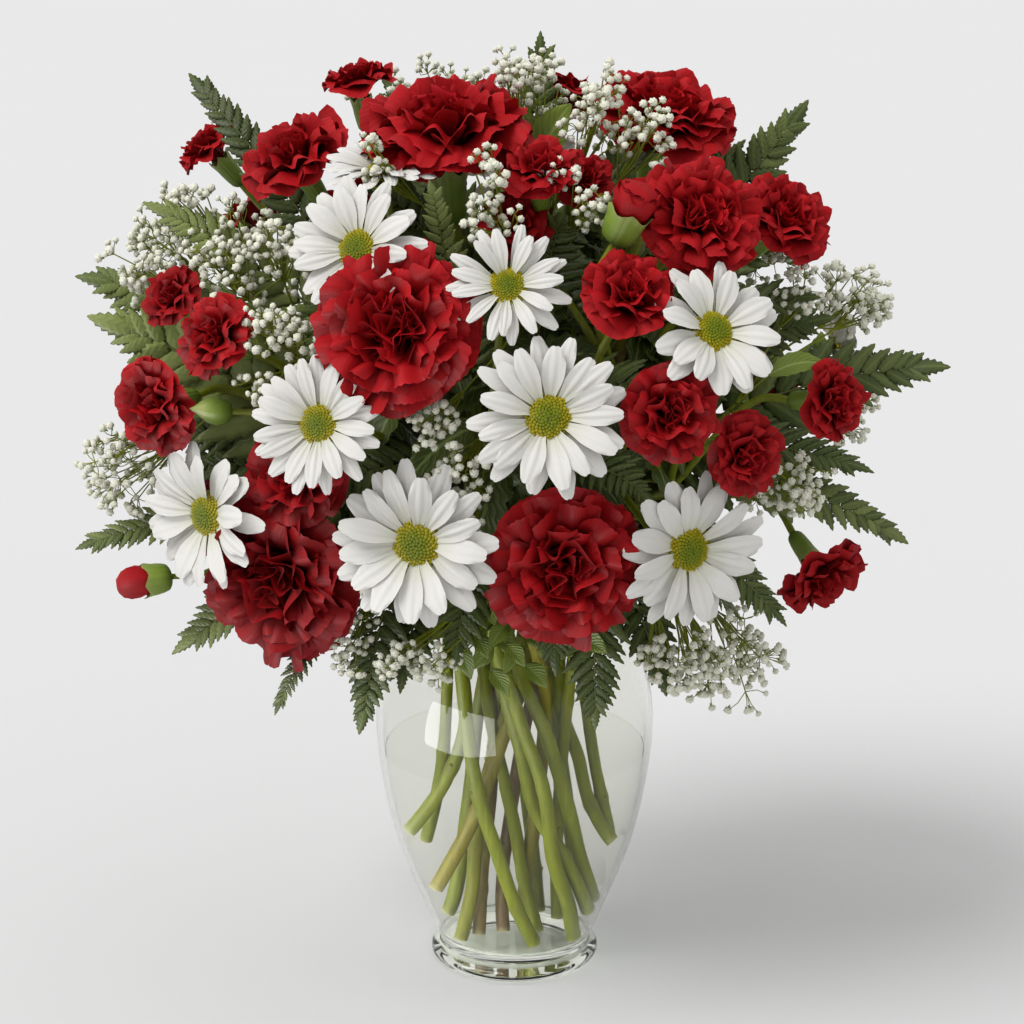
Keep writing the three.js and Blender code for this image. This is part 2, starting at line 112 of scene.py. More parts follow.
print("a half turn of the path helper:", len(smooth_path([(0, 0, 0), (20, 0, 30), (0, 0, 60)])), "points")

# %% [markdown]
# ## The camera
# The bouquet was looked at from the front and a little above, from about 1.2 m away, with a long
# lens that keeps the vase from leaning. The camera tips down by less than 15 degrees, and the whole
# picture lies below the horizon, so the background is all floor.

# %% The camera
IMAGE_SIDE = 1024
FOCAL_PIXELS = 2665
SENSOR = 36.0
CAMERA_PLACE = (-1.2, -1188, 529)
CAMERA_PITCH = 14.7
CAMERA_REACH = 100

camera_data = bpy.data.cameras.new("bouquet_camera")
camera_data.sensor_width = SENSOR
camera_data.lens = SENSOR * FOCAL_PIXELS / IMAGE_SIDE
camera_data.clip_end = CAMERA_REACH
camera = bpy.data.objects.new("bouquet_camera", camera_data)
camera.location = Vector(CAMERA_PLACE) * MM
camera.rotation_euler = (math.radians(90 - CAMERA_PITCH), 0, 0)
bpy.context.scene.collection.objects.link(camera)
bpy.context.scene.camera = camera
print("lens:", round(camera_data.lens, 1), "mm")

# %% [markdown]
# ## Wrapping node sockets
# A material's maths reads best as plain arithmetic. `Value` wraps one output socket, and its
# operators add Math nodes; `Graph.node` makes any other node, and the short methods after it are the
# nodes that this bouquet needs again and again. The same pair of classes builds the shader trees and
# the Geometry Nodes trees, which both keep their maths in Math nodes.


# %% Wrapping node sockets
class Value:
    """One output socket. Arithmetic on it adds Math nodes to its tree."""

    def __init__(self, graph, socket):
        self.graph = graph
        self.socket = socket

    def worked(self, operation, *numbers):
        return self.graph.node("ShaderNodeMath", {"operation": operation}, dict(enumerate(numbers)))

    def __add__(self, other):
        return self.worked("ADD", self, other)

    def __sub__(self, other):
        return self.worked("SUBTRACT", self, other)

    def __rsub__(self, other):
        return self.worked("SUBTRACT", other, self)

    def __mul__(self, other):
        return self.worked("MULTIPLY", self, other)

    def __truediv__(self, other):
        return self.worked("DIVIDE", self, other)

    def __pow__(self, other):
        return self.worked("POWER", self, other)

    __radd__ = __add__
    __rmul__ = __mul__

    def of(self, function, *numbers):
        return self.worked(function, self, *numbers)

    def beside(self, output):
        """Another output of the same node."""
        return Value(self.graph, found(self.socket.node.outputs, output))


def found(sockets, key):
    """The socket with this index, identifier or name, out of those that the node uses."""
    if isinstance(key, int):
        return sockets[key]
    used = [socket for socket in sockets if socket.enabled]
    exact = [socket for socket in used if socket.identifier == key]
    return (exact or [socket for socket in used if socket.name == key])[0]


class Graph:
    """One node tree, shader or geometry."""

    def __init__(self, tree):
        self.tree = tree

    def node(self, kind, settings=None, sockets=None, output=0):
        made = self.tree.nodes.new(kind)
        for name, setting in (settings or {}).items():
            if name == "stops":
                self.set_stops(made.color_ramp, setting)
            else:
                setattr(made, name, setting)
        for key, given in (sockets or {}).items():
            socket = found(made.inputs, key)
            for one in given if isinstance(given, list) else [given]:
                if isinstance(one, Value):
                    self.tree.links.new(one.socket, socket)
                else:
                    socket.default_value = one
        return Value(self, found(made.outputs, output)) if len(made.outputs) else None

    def set_stops(self, ramp, stops):
        while len(ramp.elements) < len(stops):
            ramp.elements.new(0.5)
        for element, (place, colour) in zip(ramp.elements, stops):
            element.position = place
            element.color = (*colour, 1)

    def painted(self, *names):
        """Numbers that the mesh carries, for a shader."""
        return [self.node("ShaderNodeAttribute", {"attribute_name": name}, output="Fac")
                for name in names]

    def place(self, scale=(1, 1, 1)):
        """Object coordinates in metres, stretched by a scale."""
        where = self.node("ShaderNodeTexCoord", output="Object")
        return self.node("ShaderNodeMapping", {}, {"Vector": where, "Scale": scale})

    def noise(self, vector, scale, detail=2.0, roughness=0.5):
        sockets = {"Vector": vector, "Scale": scale, "Detail": detail, "Roughness": roughness}
        return self.node("ShaderNodeTexNoise", {}, sockets, "Fac")

    def triple(self, x, y, z):
        return self.node("ShaderNodeCombineXYZ", {}, {"X": x, "Y": y, "Z": z})

    def stretched(self, value, low, high, to_low=0.0, to_high=1.0):
        sockets = {"Value": value, "From Min": low, "From Max": high, "To Min": to_low, "To Max": to_high}
        return self.node("ShaderNodeMapRange", {"interpolation_type": "SMOOTHSTEP"}, sockets, "Result")

    def blend(self, share, first, second):
        colours = {"Factor": share, "A": first, "B": second}
        colours = {key: (*c, 1) if isinstance(c, tuple) else c for key, c in colours.items()}
        return self.node("ShaderNodeMix", {"data_type": "RGBA"}, colours, "Result")

    def ramp(self, share, *stops):
        return self.node("ShaderNodeValToRGB", {"stops": stops}, {"Fac": share}, "Color")

    def bump(self, height, distance, strength):
        sockets = {"Height": height, "Distance": distance * MM, "Strength": strength}
        return self.node("ShaderNodeBump", {}, sockets, "Normal")

    def attribute(self, name, kind="FLOAT"):
        """Numbers that the mesh carries, for a Geometry Nodes tree."""
        settings = {"data_type": kind}
        return self.node("GeometryNodeInputNamedAttribute", settings, {"Name": name}, "Attribute")

    def marked(self, geometry, name, number, domain="POINT"):
        """The geometry, with a number painted on each of its points or instances."""
        settings = {"data_type": "FLOAT", "domain": domain}
        sockets = {"Geometry": geometry, "Name": name, "Value": number}
        return self.node("GeometryNodeStoreNamedAttribute", settings, sockets)

    def random(self, low, high, seed):
        """A random number for each point or instance."""
        sockets = {"Min": low, "Max": high, "Seed": seed}
        return self.node("FunctionNodeRandomValue", {"data_type": "FLOAT"}, sockets, "Value")

    def one_of(self, chosen):
        """The object behind an input, to be placed many times."""
        sockets = {"Object": chosen, "As Instance": True}
        return self.node("GeometryNodeObjectInfo", {}, sockets, "Geometry")

    def tube(self, line, sides, girth):
        """A ring with this many sides swept along a line, scaled by a girth."""
        sockets = {"Resolution": sides, "Radius": 1.0}
        ring = self.node("GeometryNodeCurvePrimitiveCircle", {}, sockets, "Curve")
        sockets = {"Curve": line, "Profile Curve": ring, "Scale": girth, "Fill Caps": True}
        return self.node("GeometryNodeCurveToMesh", {}, sockets, "Mesh")

    def end(self, geometry, finish, smooth=False):
        """The end of a Geometry Nodes tree: real geometry, in its finish."""
        whole = self.node("GeometryNodeRealizeInstances", {}, {"Geometry": geometry})
        if smooth:
            whole = self.node("GeometryNodeSetShadeSmooth", {}, {"Geometry": whole}, "Geometry")
        whole = self.node("GeometryNodeSetMaterial", {}, {"Geometry": whole, "Material": finish})
        self.node("NodeGroupOutput", {}, {"Geometry": whole})


def new_finish(name):
    """An empty material and the graph of its shader."""
    material = bpy.data.materials.new(name)
    material.use_nodes = True
    material.node_tree.nodes.clear()
    print("finish:", name)
    return material, Graph(material.node_tree)


def surface(graph, **sockets):
    """A Principled shader with these sockets, named with _ for a space, joined to the output."""
    named = {key.replace("_", " "): given for key, given in sockets.items()}
    shader = graph.node("ShaderNodeBsdfPrincipled", {}, named, "BSDF")
    graph.node("ShaderNodeOutputMaterial", {}, {"Surface": shader})


print("graph helpers ready")

# %% [markdown]
# ## Light and floor
# The bouquet stood on a pale sweep in a studio. The even grey all round is the world, and one wide
# soft lamp stands high on the left, nearer the front. The shadow that it throws lies to the right
# on the floor. The floor's grey is chosen so that, lit by both, it looks like the world beyond it.
# A small window of light stands low and near at the left front. It gives no other light: it is only
# mirrored, as the bright patch on the glass. The floor has no gloss, so it doesn't mirror it.

# %% Light and floor
SURROUND = 0.807
FLOOR_GREY, PAPER_GRAIN = 0.6, 0.004
FLOOR_REACH, FLOOR_LEVEL = 60, -0.0004
LAMP_AIM = Vector((0, 0, 0.2))
KEY_FROM, KEY_DISTANCE, KEY_SOFTNESS = facing(-58, 52), 2000, 34
WINDOW_FROM, WINDOW_DISTANCE, WINDOW_SIDES = facing(-43.5, -8.8), 444, (0.48, 0.25)

world = bpy.data.worlds.new("studio_surround")
world.use_nodes = True
world.node_tree.nodes["Background"].inputs["Color"].default_value = (SURROUND, SURROUND, SURROUND, 1)
bpy.context.scene.world = world
bpy.context.scene.view_settings.view_transform = "Standard"
bpy.context.scene.view_settings.look = "None"


def lamp(name, kind, direction, distance, **settings):
    data = bpy.data.lights.new(name, kind)
    for key, setting in settings.items():
        setattr(data, key, setting)
    light = bpy.data.objects.new(name, data)
    light.location = Vector(direction) * distance * MM + LAMP_AIM
    light.rotation_mode = "QUATERNION"
    light.rotation_quaternion = Vector(direction).to_track_quat("Z", "Y")
    bpy.context.scene.collection.objects.link(light)
    return light


lamp("key_lamp", "SUN", KEY_FROM, KEY_DISTANCE, energy=2.2, angle=math.radians(KEY_SOFTNESS))
window = lamp("window_on_glass", "AREA", WINDOW_FROM, WINDOW_DISTANCE, energy=4.4,
              shape="RECTANGLE", size=WINDOW_SIDES[0], size_y=WINDOW_SIDES[1])
window.visible_diffuse = False
window.visible_camera = False
window.visible_transmission = False

floor_finish, graph = new_finish("studio_floor")
paper = graph.noise(graph.place(), 3.0, 3.0)
greys = [(FLOOR_GREY + change,) * 3 for change in (-PAPER_GRAIN, PAPER_GRAIN)]
surface(graph, Base_Color=graph.blend(paper, *greys), Roughness=0.9, Specular_IOR_Level=0.0)
corners = [(x * FLOOR_REACH, y * FLOOR_REACH, FLOOR_LEVEL)
           for x, y in ((-1, -1), (1, -1), (1, 1), (-1, 1))]
floor_mesh = bpy.data.meshes.new("studio_floor")
floor_mesh.from_pydata(corners, [], [(0, 1, 2, 3)])
floor_mesh.materials.append(floor_finish)
floor = bpy.data.objects.new("studio_floor", floor_mesh)
bpy.context.scene.collection.objects.link(floor)
print("floor:", 2 * FLOOR_REACH, "m wide")

# %% [markdown]
# ## Meshes from points
# Petals and leaves are thin but they aren't cards: each is a closed skin, a front and a back that
# share their rim. Round things are rings of points, one above another, closed by a point at each
# end. `Shape` gathers such bits and keeps numbers painted on their points, which materials read.

# %% Meshes from points
PETAL_CREASE, CUP_CREASE = 70, 50


def leaf_faces(rows, columns):
    """Faces of a thin closed skin: a front grid of points, and a back one inside the same rim."""
    front = np.arange(rows * columns).reshape(rows, columns)
    back = front.copy()
    back[1:-1, 1:-1] = rows * columns + np.arange((rows - 2) * (columns - 2)).reshape(rows - 2, -1)
    corners = [(0, 0), (0, 1), (1, 1), (1, 0)]
    quads = [
        np.stack([grid[i:rows - 1 + i, j:columns - 1 + j].ravel() for i, j in order], axis=1)
        for grid, order in ((front, corners), (back, corners[::-1]))
    ]
    return np.vstack(quads).tolist()


def leaf_points(grid, thickness):
    """The points for leaf_faces, round a middle surface given as rows of points."""
    normal = np.cross(np.gradient(grid, axis=1), np.gradient(grid, axis=0))
    normal /= np.linalg.norm(normal, axis=2, keepdims=True) + 1e-12
    front = grid.copy()
    front[1:-1, 1:-1] += normal[1:-1, 1:-1] * thickness / 2
    back = (grid - normal * thickness / 2)[1:-1, 1:-1]
    return np.vstack([front.reshape(-1, 3), back.reshape(-1, 3)])


def barrel(rings):
    """Points and faces of rings, closed with a middle point under the first and over the last."""
    rings = np.asarray(rings, float)
    count, segments = rings.shape[:2]
    points = np.vstack([rings.reshape(-1, 3), rings[0].mean(axis=0), rings[-1].mean(axis=0)])
    index = np.arange(count * segments).reshape(count, segments)
    ahead = np.roll(index, -1, axis=1)
    faces = np.stack([index[:-1], ahead[:-1], ahead[1:], index[1:]], axis=-1).reshape(-1, 4).tolist()
    bottom, top = count * segments, count * segments + 1
    faces += [[bottom, b, a] for a, b in zip(index[0].tolist(), ahead[0].tolist())]
    faces += [[top, a, b] for a, b in zip(index[-1].tolist(), ahead[-1].tolist())]
    return points, faces


def turned_rings(profile, segments):
    """Rings round +Z for a profile of radius and height."""
    profile = np.asarray(profile, float)
    turn = np.linspace(0, 2 * math.pi, segments, endpoint=False)
    radius, height = profile[:, :1], profile[:, 1:]
    return np.stack([radius * np.cos(turn), radius * np.sin(turn), height + 0 * turn], axis=-1)


class Points:
    """Gathers points, in mm, and the numbers painted on them."""

    def __init__(self, *paints):
        self.points = []
        self.paints = {name: [] for name in paints}
        self.count = 0

    def add_points(self, points, values):
        self.points.append(np.asarray(points, float))
        for name, kept in self.paints.items():
            kept.append(np.broadcast_to(values.get(name, 0.0), len(points)))
        self.count += len(points)

    def joined(self, name, edges, faces):
        """One mesh of all the points, with these edges or faces."""
        mesh = bpy.data.meshes.new(name)
        mesh.from_pydata((np.vstack(self.points) * MM).tolist(), edges, faces)
        for paint, kept in self.paints.items():
            numbers = np.concatenate(kept).astype(np.float32)
            mesh.attributes.new(paint, "FLOAT", "POINT").data.foreach_set("value", numbers)
        return mesh


class Shape(Points):
    """Gathers closed skins and makes one mesh of them."""

    def __init__(self, *paints):
        super().__init__(*paints)
        self.faces = []

    def add(self, points, faces, **values):
        self.faces.extend([[corner + self.count for corner in face] for face in faces])
        self.add_points(points, values)

    def add_leaf(self, grid, thickness, along, across, **values):
        """A thin skin round rows of points, painted with how far along and across they are."""
        rows, columns = grid.shape[:2]
        for name, shares in (("along", along), ("across", across)):
            spread = np.broadcast_to(shares, (rows, columns))
            values[name] = np.concatenate([spread.ravel(), spread[1:-1, 1:-1].ravel()])
        self.add(leaf_points(grid, thickness), leaf_faces(rows, columns), **values)

    def mesh(self, name, finish, crease=None):
        mesh = self.joined(name, [], self.faces)
        mesh.shade_smooth()
        if crease is not None:
            mesh.set_sharp_from_angle(angle=math.radians(crease))
        mesh.materials.append(finish)
        return mesh


def piece(name, mesh, slot, *nodes):
    """A finished object in the bouquet, standing for the simple pieces that are named."""
    made = bpy.data.objects.new(name, mesh)
    bpy.context.scene.collection.objects.link(made)
    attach(made, "root")
    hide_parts(*nodes)
    print(name, len(mesh.polygons), "faces")


print("a small closed leaf has", len(leaf_faces(5, 3)), "faces")

# %% [markdown]
# ## Growing with Geometry Nodes
# Where one shape repeats, or follows a line, a Geometry Nodes tree does the placing. Each tree is
# written here with named inputs. `grown` puts it on a holder object, sets the inputs, takes the
# result as a plain mesh and throws the holder away, so nothing live is left in the scene.


# %% Growing with Geometry Nodes
def growing_tree(name, **inputs):
    """A new Geometry Nodes tree, its graph and its group input."""
    tree = bpy.data.node_groups.new(name, "GeometryNodeTree")
    for label, kind in inputs.items():
        tree.interface.new_socket(label, in_out="INPUT", socket_type="NodeSocket" + kind)
    tree.interface.new_socket("Geometry", in_out="OUTPUT", socket_type="NodeSocketGeometry")
    graph = Graph(tree)
    return tree, graph, graph.node("NodeGroupInput")


def grown(tree, name, start=None, **inputs):
    """The plain mesh that the tree makes of a start mesh with these inputs."""
    holder = bpy.data.objects.new(name, start or bpy.data.meshes.new(name + "_start"))
    bpy.context.scene.collection.objects.link(holder)
    modifier = holder.modifiers.new(tree.name, "NODES")
    modifier.node_group = tree
    for item in tree.interface.items_tree:
        if item.in_out == "INPUT" and item.name in inputs:
            modifier[item.identifier] = inputs[item.name]
    depsgraph = bpy.context.evaluated_depsgraph_get()
    mesh = bpy.data.meshes.new_from_object(holder.evaluated_get(depsgraph), depsgraph=depsgraph)
    holder.modifiers.clear()
    bpy.data.objects.remove(holder)
    mesh.name = name
    return mesh


def pattern(name, shape):
    """An unlinked object that trees place many times."""
    return bpy.data.objects.new(name, shape)


print("tree helpers ready")

# %% [markdown]
# ## The glass vase
# The vase is clear glass: a thick round foot, a narrow ankle, a full shoulder, a neck and a lip
# that flares a little. Under the foot is a shallow hollow, the punt. The wall is a profile turned
# round the axis. Going on from the outer wall over the lip and down the inside gives the glass a
# real thickness. Where the glass is thick, in the foot, it looks greener, so its colour changes with
# height. The profile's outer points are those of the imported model.

# %% The glass vase
VASE_HEIGHT = 203.0
FOOT_RADIUS, FOOT_HEIGHT = 39.5, 8.0
PUNT_RADIUS = 32
GLASS = 2.8
FLOOR_HEIGHT, FLOOR_ROUNDING = 10.0, 7
OUTER_WALL = [
    (8, 35), (30, 44.5), (60, 55.8), (90, 62.4), (116, 65), (134, 63.4),
    (150, 57.6), (165, 49.2), (178, 43.2), (190, 42.4), (198, 45), (VASE_HEIGHT, 48),
]
VASE_SEGMENTS = 112
GLASS_INDEX, GLASS_SHADOW = 1.3, (0.95, 0.965, 0.96)
THICK_UP_TO = 40
GLASS_COLOURS = [(0.0, (0.80, 0.82, 0.75)), (0.22, (0.84, 0.86, 0.79)), (0.42, (0.93, 0.933, 0.903))]


def clear_finish(name, index, shadow, height, colours):
    """A clear finish that changes colour up to this height, in mm, and tints the light it lets by."""
    material, graph = new_finish(name)
    rise = graph.node("ShaderNodeSeparateXYZ", {}, {"Vector": graph.place()}, "Z")
    clear = graph.node("ShaderNodeBsdfPrincipled", {}, {
        "Base Color": graph.ramp(rise * 1000 / height, *colours), "Roughness": 0.0, "IOR": index,
        "Transmission Weight": 1.0}, "BSDF")
    lets_light = graph.node("ShaderNodeBsdfTransparent", {}, {"Color": (*shadow, 1)})
    for_shadow = graph.node("ShaderNodeLightPath", output="Is Shadow Ray")
    both = graph.node("ShaderNodeMixShader", {}, {"Fac": for_shadow, 1: clear, 2: lets_light})
    graph.node("ShaderNodeOutputMaterial", {}, {"Surface": both})
    return material


def rounded(corners, spacing):
    """A flat profile of radius and height, smoothed through its corners."""
    path = smooth_path([(radius, 0, height) for radius, height in corners], spacing)
    return path[:, [0, 2]]


def wall_profile(inset, low, high):
    """The wall from one height to another, set in from the outside."""
    heights, radii = np.array(OUTER_WALL).T
    path = rounded(list(zip(radii, heights)), 3.0)
    kept = path[(path[:, 1] > low) & (path[:, 1] < high)]
    return kept - np.array([inset, 0])


glass_finish = clear_finish("clear_glass", GLASS_INDEX, GLASS_SHADOW, THICK_UP_TO, GLASS_COLOURS)
foot = rounded([(20, 0.9), (34, 0.3), (38.2, 0.2), (FOOT_RADIUS, 2.0), (FOOT_RADIUS, 4.6),
                (37.8, 7.0), (35.4, 8.2)], 1.0)
outer = wall_profile(0, FOOT_HEIGHT + 1, VASE_HEIGHT - 2)
lip = rounded([(46.9, 201.3), (47.6, 202.6), (47.0, VASE_HEIGHT), (45.6, 202.2), (44.6, 200.9)], 0.5)
inner = wall_profile(GLASS, FLOOR_HEIGHT + FLOOR_ROUNDING, VASE_HEIGHT - 3)[::-1]
inside_floor = rounded([(36.2, 15.5), (33.6, 11.8), (28.0, 10.2), (14.0, FLOOR_HEIGHT),
                        (4.0, FLOOR_HEIGHT)], 2.0)
punt = rounded([(4.0, 3.6), (14.0, 3.3), (24.0, 2.1), (31.0, 0.8)], 2.0)
vase_profile = np.vstack([punt, foot[foot[:, 0] > PUNT_RADIUS], outer, lip, inner, inside_floor])
vase_points, vase_faces = barrel(turned_rings(vase_profile, VASE_SEGMENTS))
vase = Shape()
vase.add(vase_points, vase_faces)
piece("glass_urn", vase.mesh("glass_urn", glass_finish), "glass", "glass_vase")

# %% [markdown]
# ## The water
# The water fills just over half of the urn, nearly up to its widest part. It is a body of its own,
# a hair inside the glass, with a flat top, and a slightly darker line, painted shade where the
# water's rim bends the light, is painted round its upper edge where it ends. Real water in a full
# bottle works as a lens; here the stems in it look straight, so its index is kept low. The line is a
# change of colour in the last millimetre or so of its height.

# %% The water
WATER_HEIGHT = 106.0
WATER_GAP = 0.3
WATER_INDEX, WATER_SHADOW = 1.008, (0.97, 0.98, 0.975)
# SURFACE_LINE is painted shade: a darker band at the water's upper edge.
WATER_COLOUR, SURFACE_LINE = (0.985, 0.99, 0.965), (0.93, 0.94, 0.90)
WATER_COLOURS = [(0.0, WATER_COLOUR), (0.984, WATER_COLOUR), (0.988, SURFACE_LINE)]

water_finish = clear_finish("still_water", WATER_INDEX, WATER_SHADOW, WATER_HEIGHT, WATER_COLOURS)
wet_wall = wall_profile(GLASS + WATER_GAP, FLOOR_HEIGHT + FLOOR_ROUNDING, WATER_HEIGHT - 1)
edge = wet_wall[-1, 0] + 0.12
bottom = FLOOR_HEIGHT + WATER_GAP
wet_floor = rounded([(4.0, bottom), (14.0, bottom), (28.0, bottom + 0.2), (33.4, bottom + 1.8),
                     (35.8, 15.8)], 2.0)
wet_top = [(radius, WATER_HEIGHT) for radius in (edge, edge - 1.6, edge * 0.7, edge * 0.3)]
wet_profile = np.vstack([wet_floor, wet_wall, wet_top])
water_points, water_faces = barrel(turned_rings(wet_profile, VASE_SEGMENTS))
water = Shape()
water.add(water_points, water_faces)
piece("water_in_urn", water.mesh("water_in_urn", water_finish), "water", "water")

# %% [markdown]
# ## Where the plants are
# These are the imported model's own driving values: for each flower its width, the middle of its
# bloom and the way it looks, and for each stem the points that it passes on its way up from the
# floor of the urn, through the water and the neck.

# %% Where the plants are
CARNATIONS = {
    "carnation_front_left": (70, (-48, -128, 327), (-12, 22), (
        (11, -15, 7), (1, -22, 31), (-8, -28, 61), (-17, -30, 92), (-24, -22, 140), (-27, -20, 185))),
    "carnation_low_left": (76, (-100, -88, 212), (-30, -8), (
        (-55, -15, 60), (-44, -15, 73), (-30, -13, 95), (-23, -11, 118), (-24, -9, 140), (-33, -6, 185))),
    "carnation_low_centre": (68, (21, -128, 228), (5, -5), (
        (55, 0, 48), (45, 5, 56), (35, 8, 74), (30, 6, 96), (22, 1, 122), (21, -14, 185))),
    "carnation_upper_right": (54, (76, -95, 367), (25, 35), (
        (-41, -26, 33), (-18, -22, 78), (-6, -14, 110), (5, -4, 140), (16, 3, 185))),
    "carnation_top_right": (64, (65, -30, 400), (35, 70), (
        (-26, -12, 7), (-20, -12, 36), (-17, -5, 70), (-6, 6, 110), (3, 10, 140), (6, 14, 185))),
    "carnation_top_left": (74, (-29, -62, 397), (-15, 74), (
        (37, -8, 16), (33, -12, 30), (23, -20, 56), (9, -20, 80), (3, -21, 108), (-6, -12, 140),
        (-12, 0, 185))),
    "carnation_back_left": (68, (-62, 96, 335), (-150, 25), (
        (12, 20, 7), (8, 26, 50), (0, 28, 110), (-14, 26, 185))),
    "carnation_back_right": (68, (72, 92, 322), (142, 20), (
        (-20, 16, 7), (-14, 25, 50), (-8, 34, 110), (3, 32, 185))),
    "carnation_back_low": (66, (6, 118, 236), (176, -5), (
        (30, 22, 28), (26, 25, 60), (20, 25, 110), (15, 23, 185))),
}
# Each spray: where it forks, its route, and its flowers
MINI_SPRAYS = {
    "mini_left": ((-80, -40, 262), (
        (12, -4, 7), (4, -4, 40), (0, -4, 65), (-12, -2, 120), (-20, 3, 185)), (
        (44, (-152, -78, 285), (-38, 0)), (38, (-124, -98, 318), (-40, 25)))),
    "mini_top_left": ((-58, 0, 312), (
        (-17, -9, 7), (-15, 1, 44), (-11, 8, 78), (-10, 15, 110), (-24, 14, 185)), (
        (50, (-93, -52, 386), (-50, 55)), (34, (-70, 14, 412), (-90, 80)),
        (32, (-136, 5, 384), (-80, 50)))),
    "mini_upper_right": ((46, -45, 300), (
        (-5, -6, 7), (-6, 4, 31), (0, 12, 78), (10, 12, 130), (29, 6, 185)), (
        (42, (46, -126, 340), (22, 46)), (26, (48, -110, 375), (60, 62)),
        (44, (114, -66, 362), (42, 40)), (36, (11, -88, 386), (0, 60)))),
    "mini_right": ((72, -42, 240), (
        (21, 12, 7), (20, 14, 40), (22, 4, 90), (26, -8, 140), (31, -8, 185)), (
        (42, (62, -138, 295), (15, 8)), (36, (94, -124, 274), (30, 0)),
        (36, (132, -98, 291), (45, 8)), (42, (136, -48, 202), (38, -38)))),
    "mini_back_left": ((-72, 36, 252), (
        (-45, 18, 40), (-36, 14, 80), (-32, 10, 130), (-32, 7, 185)), (
        (42, (-126, 52, 338), (-115, 30)), (40, (-98, 102, 268), (-140, 5)),
        (38, (-140, 40, 212), (-105, -20)))),
    "mini_back_right": ((64, 44, 256), (
        (48, 12, 44), (40, 16, 80), (34, 20, 120), (26, 21, 185)), (
        (42, (124, 50, 340), (115, 30)), (40, (122, 82, 256), (128, 0)),
        (38, (20, 66, 400), (165, 65)))),
}
# Two buds of one spray: a closed one, and one that shows its petals
BUDS = {"mini_left": (((-132, -92, 286), (-72, 8), False), ((-162, -72, 205), (-70, -4), True))}
DAISY_SPRAYS = {
    "daisy_front": ((-12, -72, 258), (
        (28, -10, 7), (25, -18, 31), (18, -26, 57), (13, -31, 94), (2, -26, 126), (-15, -24, 185)), (
        (68, (13, -147, 295), (3, 15)), (52, (-3, -131, 345), (5, 25)),
        (72, (-40, -133, 239), (-10, 5)))),
    "daisy_left": ((-52, -50, 266), (
        (39, -5, 24), (31, -10, 51), (24, -19, 83), (14, -19, 117), (4, -15, 140), (-9, -11, 185)), (
        (62, (-63, -112, 357), (-22, 18)), (54, (-54, -80, 384), (-20, 76)),
        (60, (-79, -133, 289), (-15, 12)), (68, (-130, -86, 239), (-40, 2)))),
    "daisy_right": ((44, -62, 256), (
        (3, 8, 7), (6, 2, 40), (12, -4, 90), (14, -10, 130), (6, -30, 185)), (
        (62, (80, -124, 325), (25, 30)), (70, (71, -120, 233), (25, 0)))),
    "daisy_back": ((0, 46, 270), (
        (-34, 5, 13), (-29, 6, 25), (-22, 12, 70), (-18, 18, 110), (-5, 20, 185)), (
        (62, (6, 110, 358), (178, 38)), (64, (-54, 116, 258), (-158, 0)), (64, (70, 112, 244), (150, -2)),
        (60, (-136, 28, 288), (-98, 12)), (60, (146, 20, 290), (96, 12)))),
}
AT_BACK = [name for name in (*CARNATIONS, *MINI_SPRAYS, *DAISY_SPRAYS) if "_back" in name]
print("carnations:", len(CARNATIONS), "- sprays:", len(MINI_SPRAYS) + len(DAISY_SPRAYS))

# %% [markdown]
# ## Stems as tubes
# A stem is a line with a girth. The girth swells at the joints where leaves grew, and is painted on
# the line's points, and so are how near a joint or a cut end is. The tree turns the line into a
# curve and sweeps a ring along it, scaled at each point by the girth there.


# %% Stems as tubes
class Strokes(Points):
    """Gathers lines."""

    def __init__(self, *paints):
        super().__init__(*paints)
        self.edges = []

    def add(self, path, **values):
        self.edges.extend((self.count + i, self.count + i + 1) for i in range(len(path) - 1))
        self.add_points(path, values)


tube_tree, graph, given = growing_tree(
    "tubes_on_lines", Geometry="Geometry", Sides="Int", Finish="Material")
line = graph.node("GeometryNodeMeshToCurve", {}, {"Mesh": given.beside("Geometry")}, "Curve")
tube = graph.tube(line, given.beside("Sides"), graph.attribute("girth") * MM)
graph.end(tube, given.beside("Finish"), smooth=True)


def tubes(name, strokes, sides):
    """Round stems in the fresh stem's finish, with this many sides, along the gathered lines."""
    lines = strokes.joined(name + "_lines", strokes.edges, [])
    return grown(tube_tree, name, lines, Sides=sides, Finish=stem_finish)


print("tube tree:", len(tube_tree.nodes), "nodes")

# %% [markdown]
# ## Stems, joints and green cups
# A cut stem stands on the glass, leans across the water and goes out through the neck. Carnation
# stems have thick joints every few centimetres, where the leaves were stripped off; daisy stems have
# none. Under each carnation is a long green cup with five teeth, the calyx, and under each daisy a
# short one of small scales. Stems differ in colour: fresh green, olive, or nearly brown. A cup is
# rings of points, one above another, whose upper ones rise into teeth and turn in to a hollow mouth.

# %% Stem finish
stem_finish, graph = new_finish("fresh_stem")
tint, knot, cut = graph.painted("tint", "knot", "cut")
streaks = graph.noise(graph.place((420, 420, 26)), 1.0, 3.0, 0.6)
mottling = graph.noise(graph.place(), 46.0, 2.0)
green = graph.blend(mottling, (0.105, 0.130, 0.003), (0.205, 0.228, 0.008))
olive = graph.blend(mottling, (0.15, 0.128, 0.010), (0.225, 0.185, 0.018))
brown = graph.blend(mottling, (0.11, 0.07, 0.032), (0.20, 0.125, 0.045))
body = graph.blend(graph.stretched(tint, 0.35, 0.6), green, olive)
body = graph.blend(graph.stretched(tint, 0.7, 0.95), body, brown)
body = graph.blend(graph.stretched(streaks, 0.45, 0.75) * 0.3, body, (0.32, 0.35, 0.06))
body = graph.blend(knot * 0.5, body, (0.15, 0.145, 0.02))
body = graph.blend(cut, body, (0.60, 0.56, 0.30))
surface(graph, Base_Color=body, Roughness=graph.stretched(streaks, 0.2, 0.8, 0.42, 0.6),
        Specular_IOR_Level=0.22, Normal=graph.bump(streaks, 0.25, 0.5))

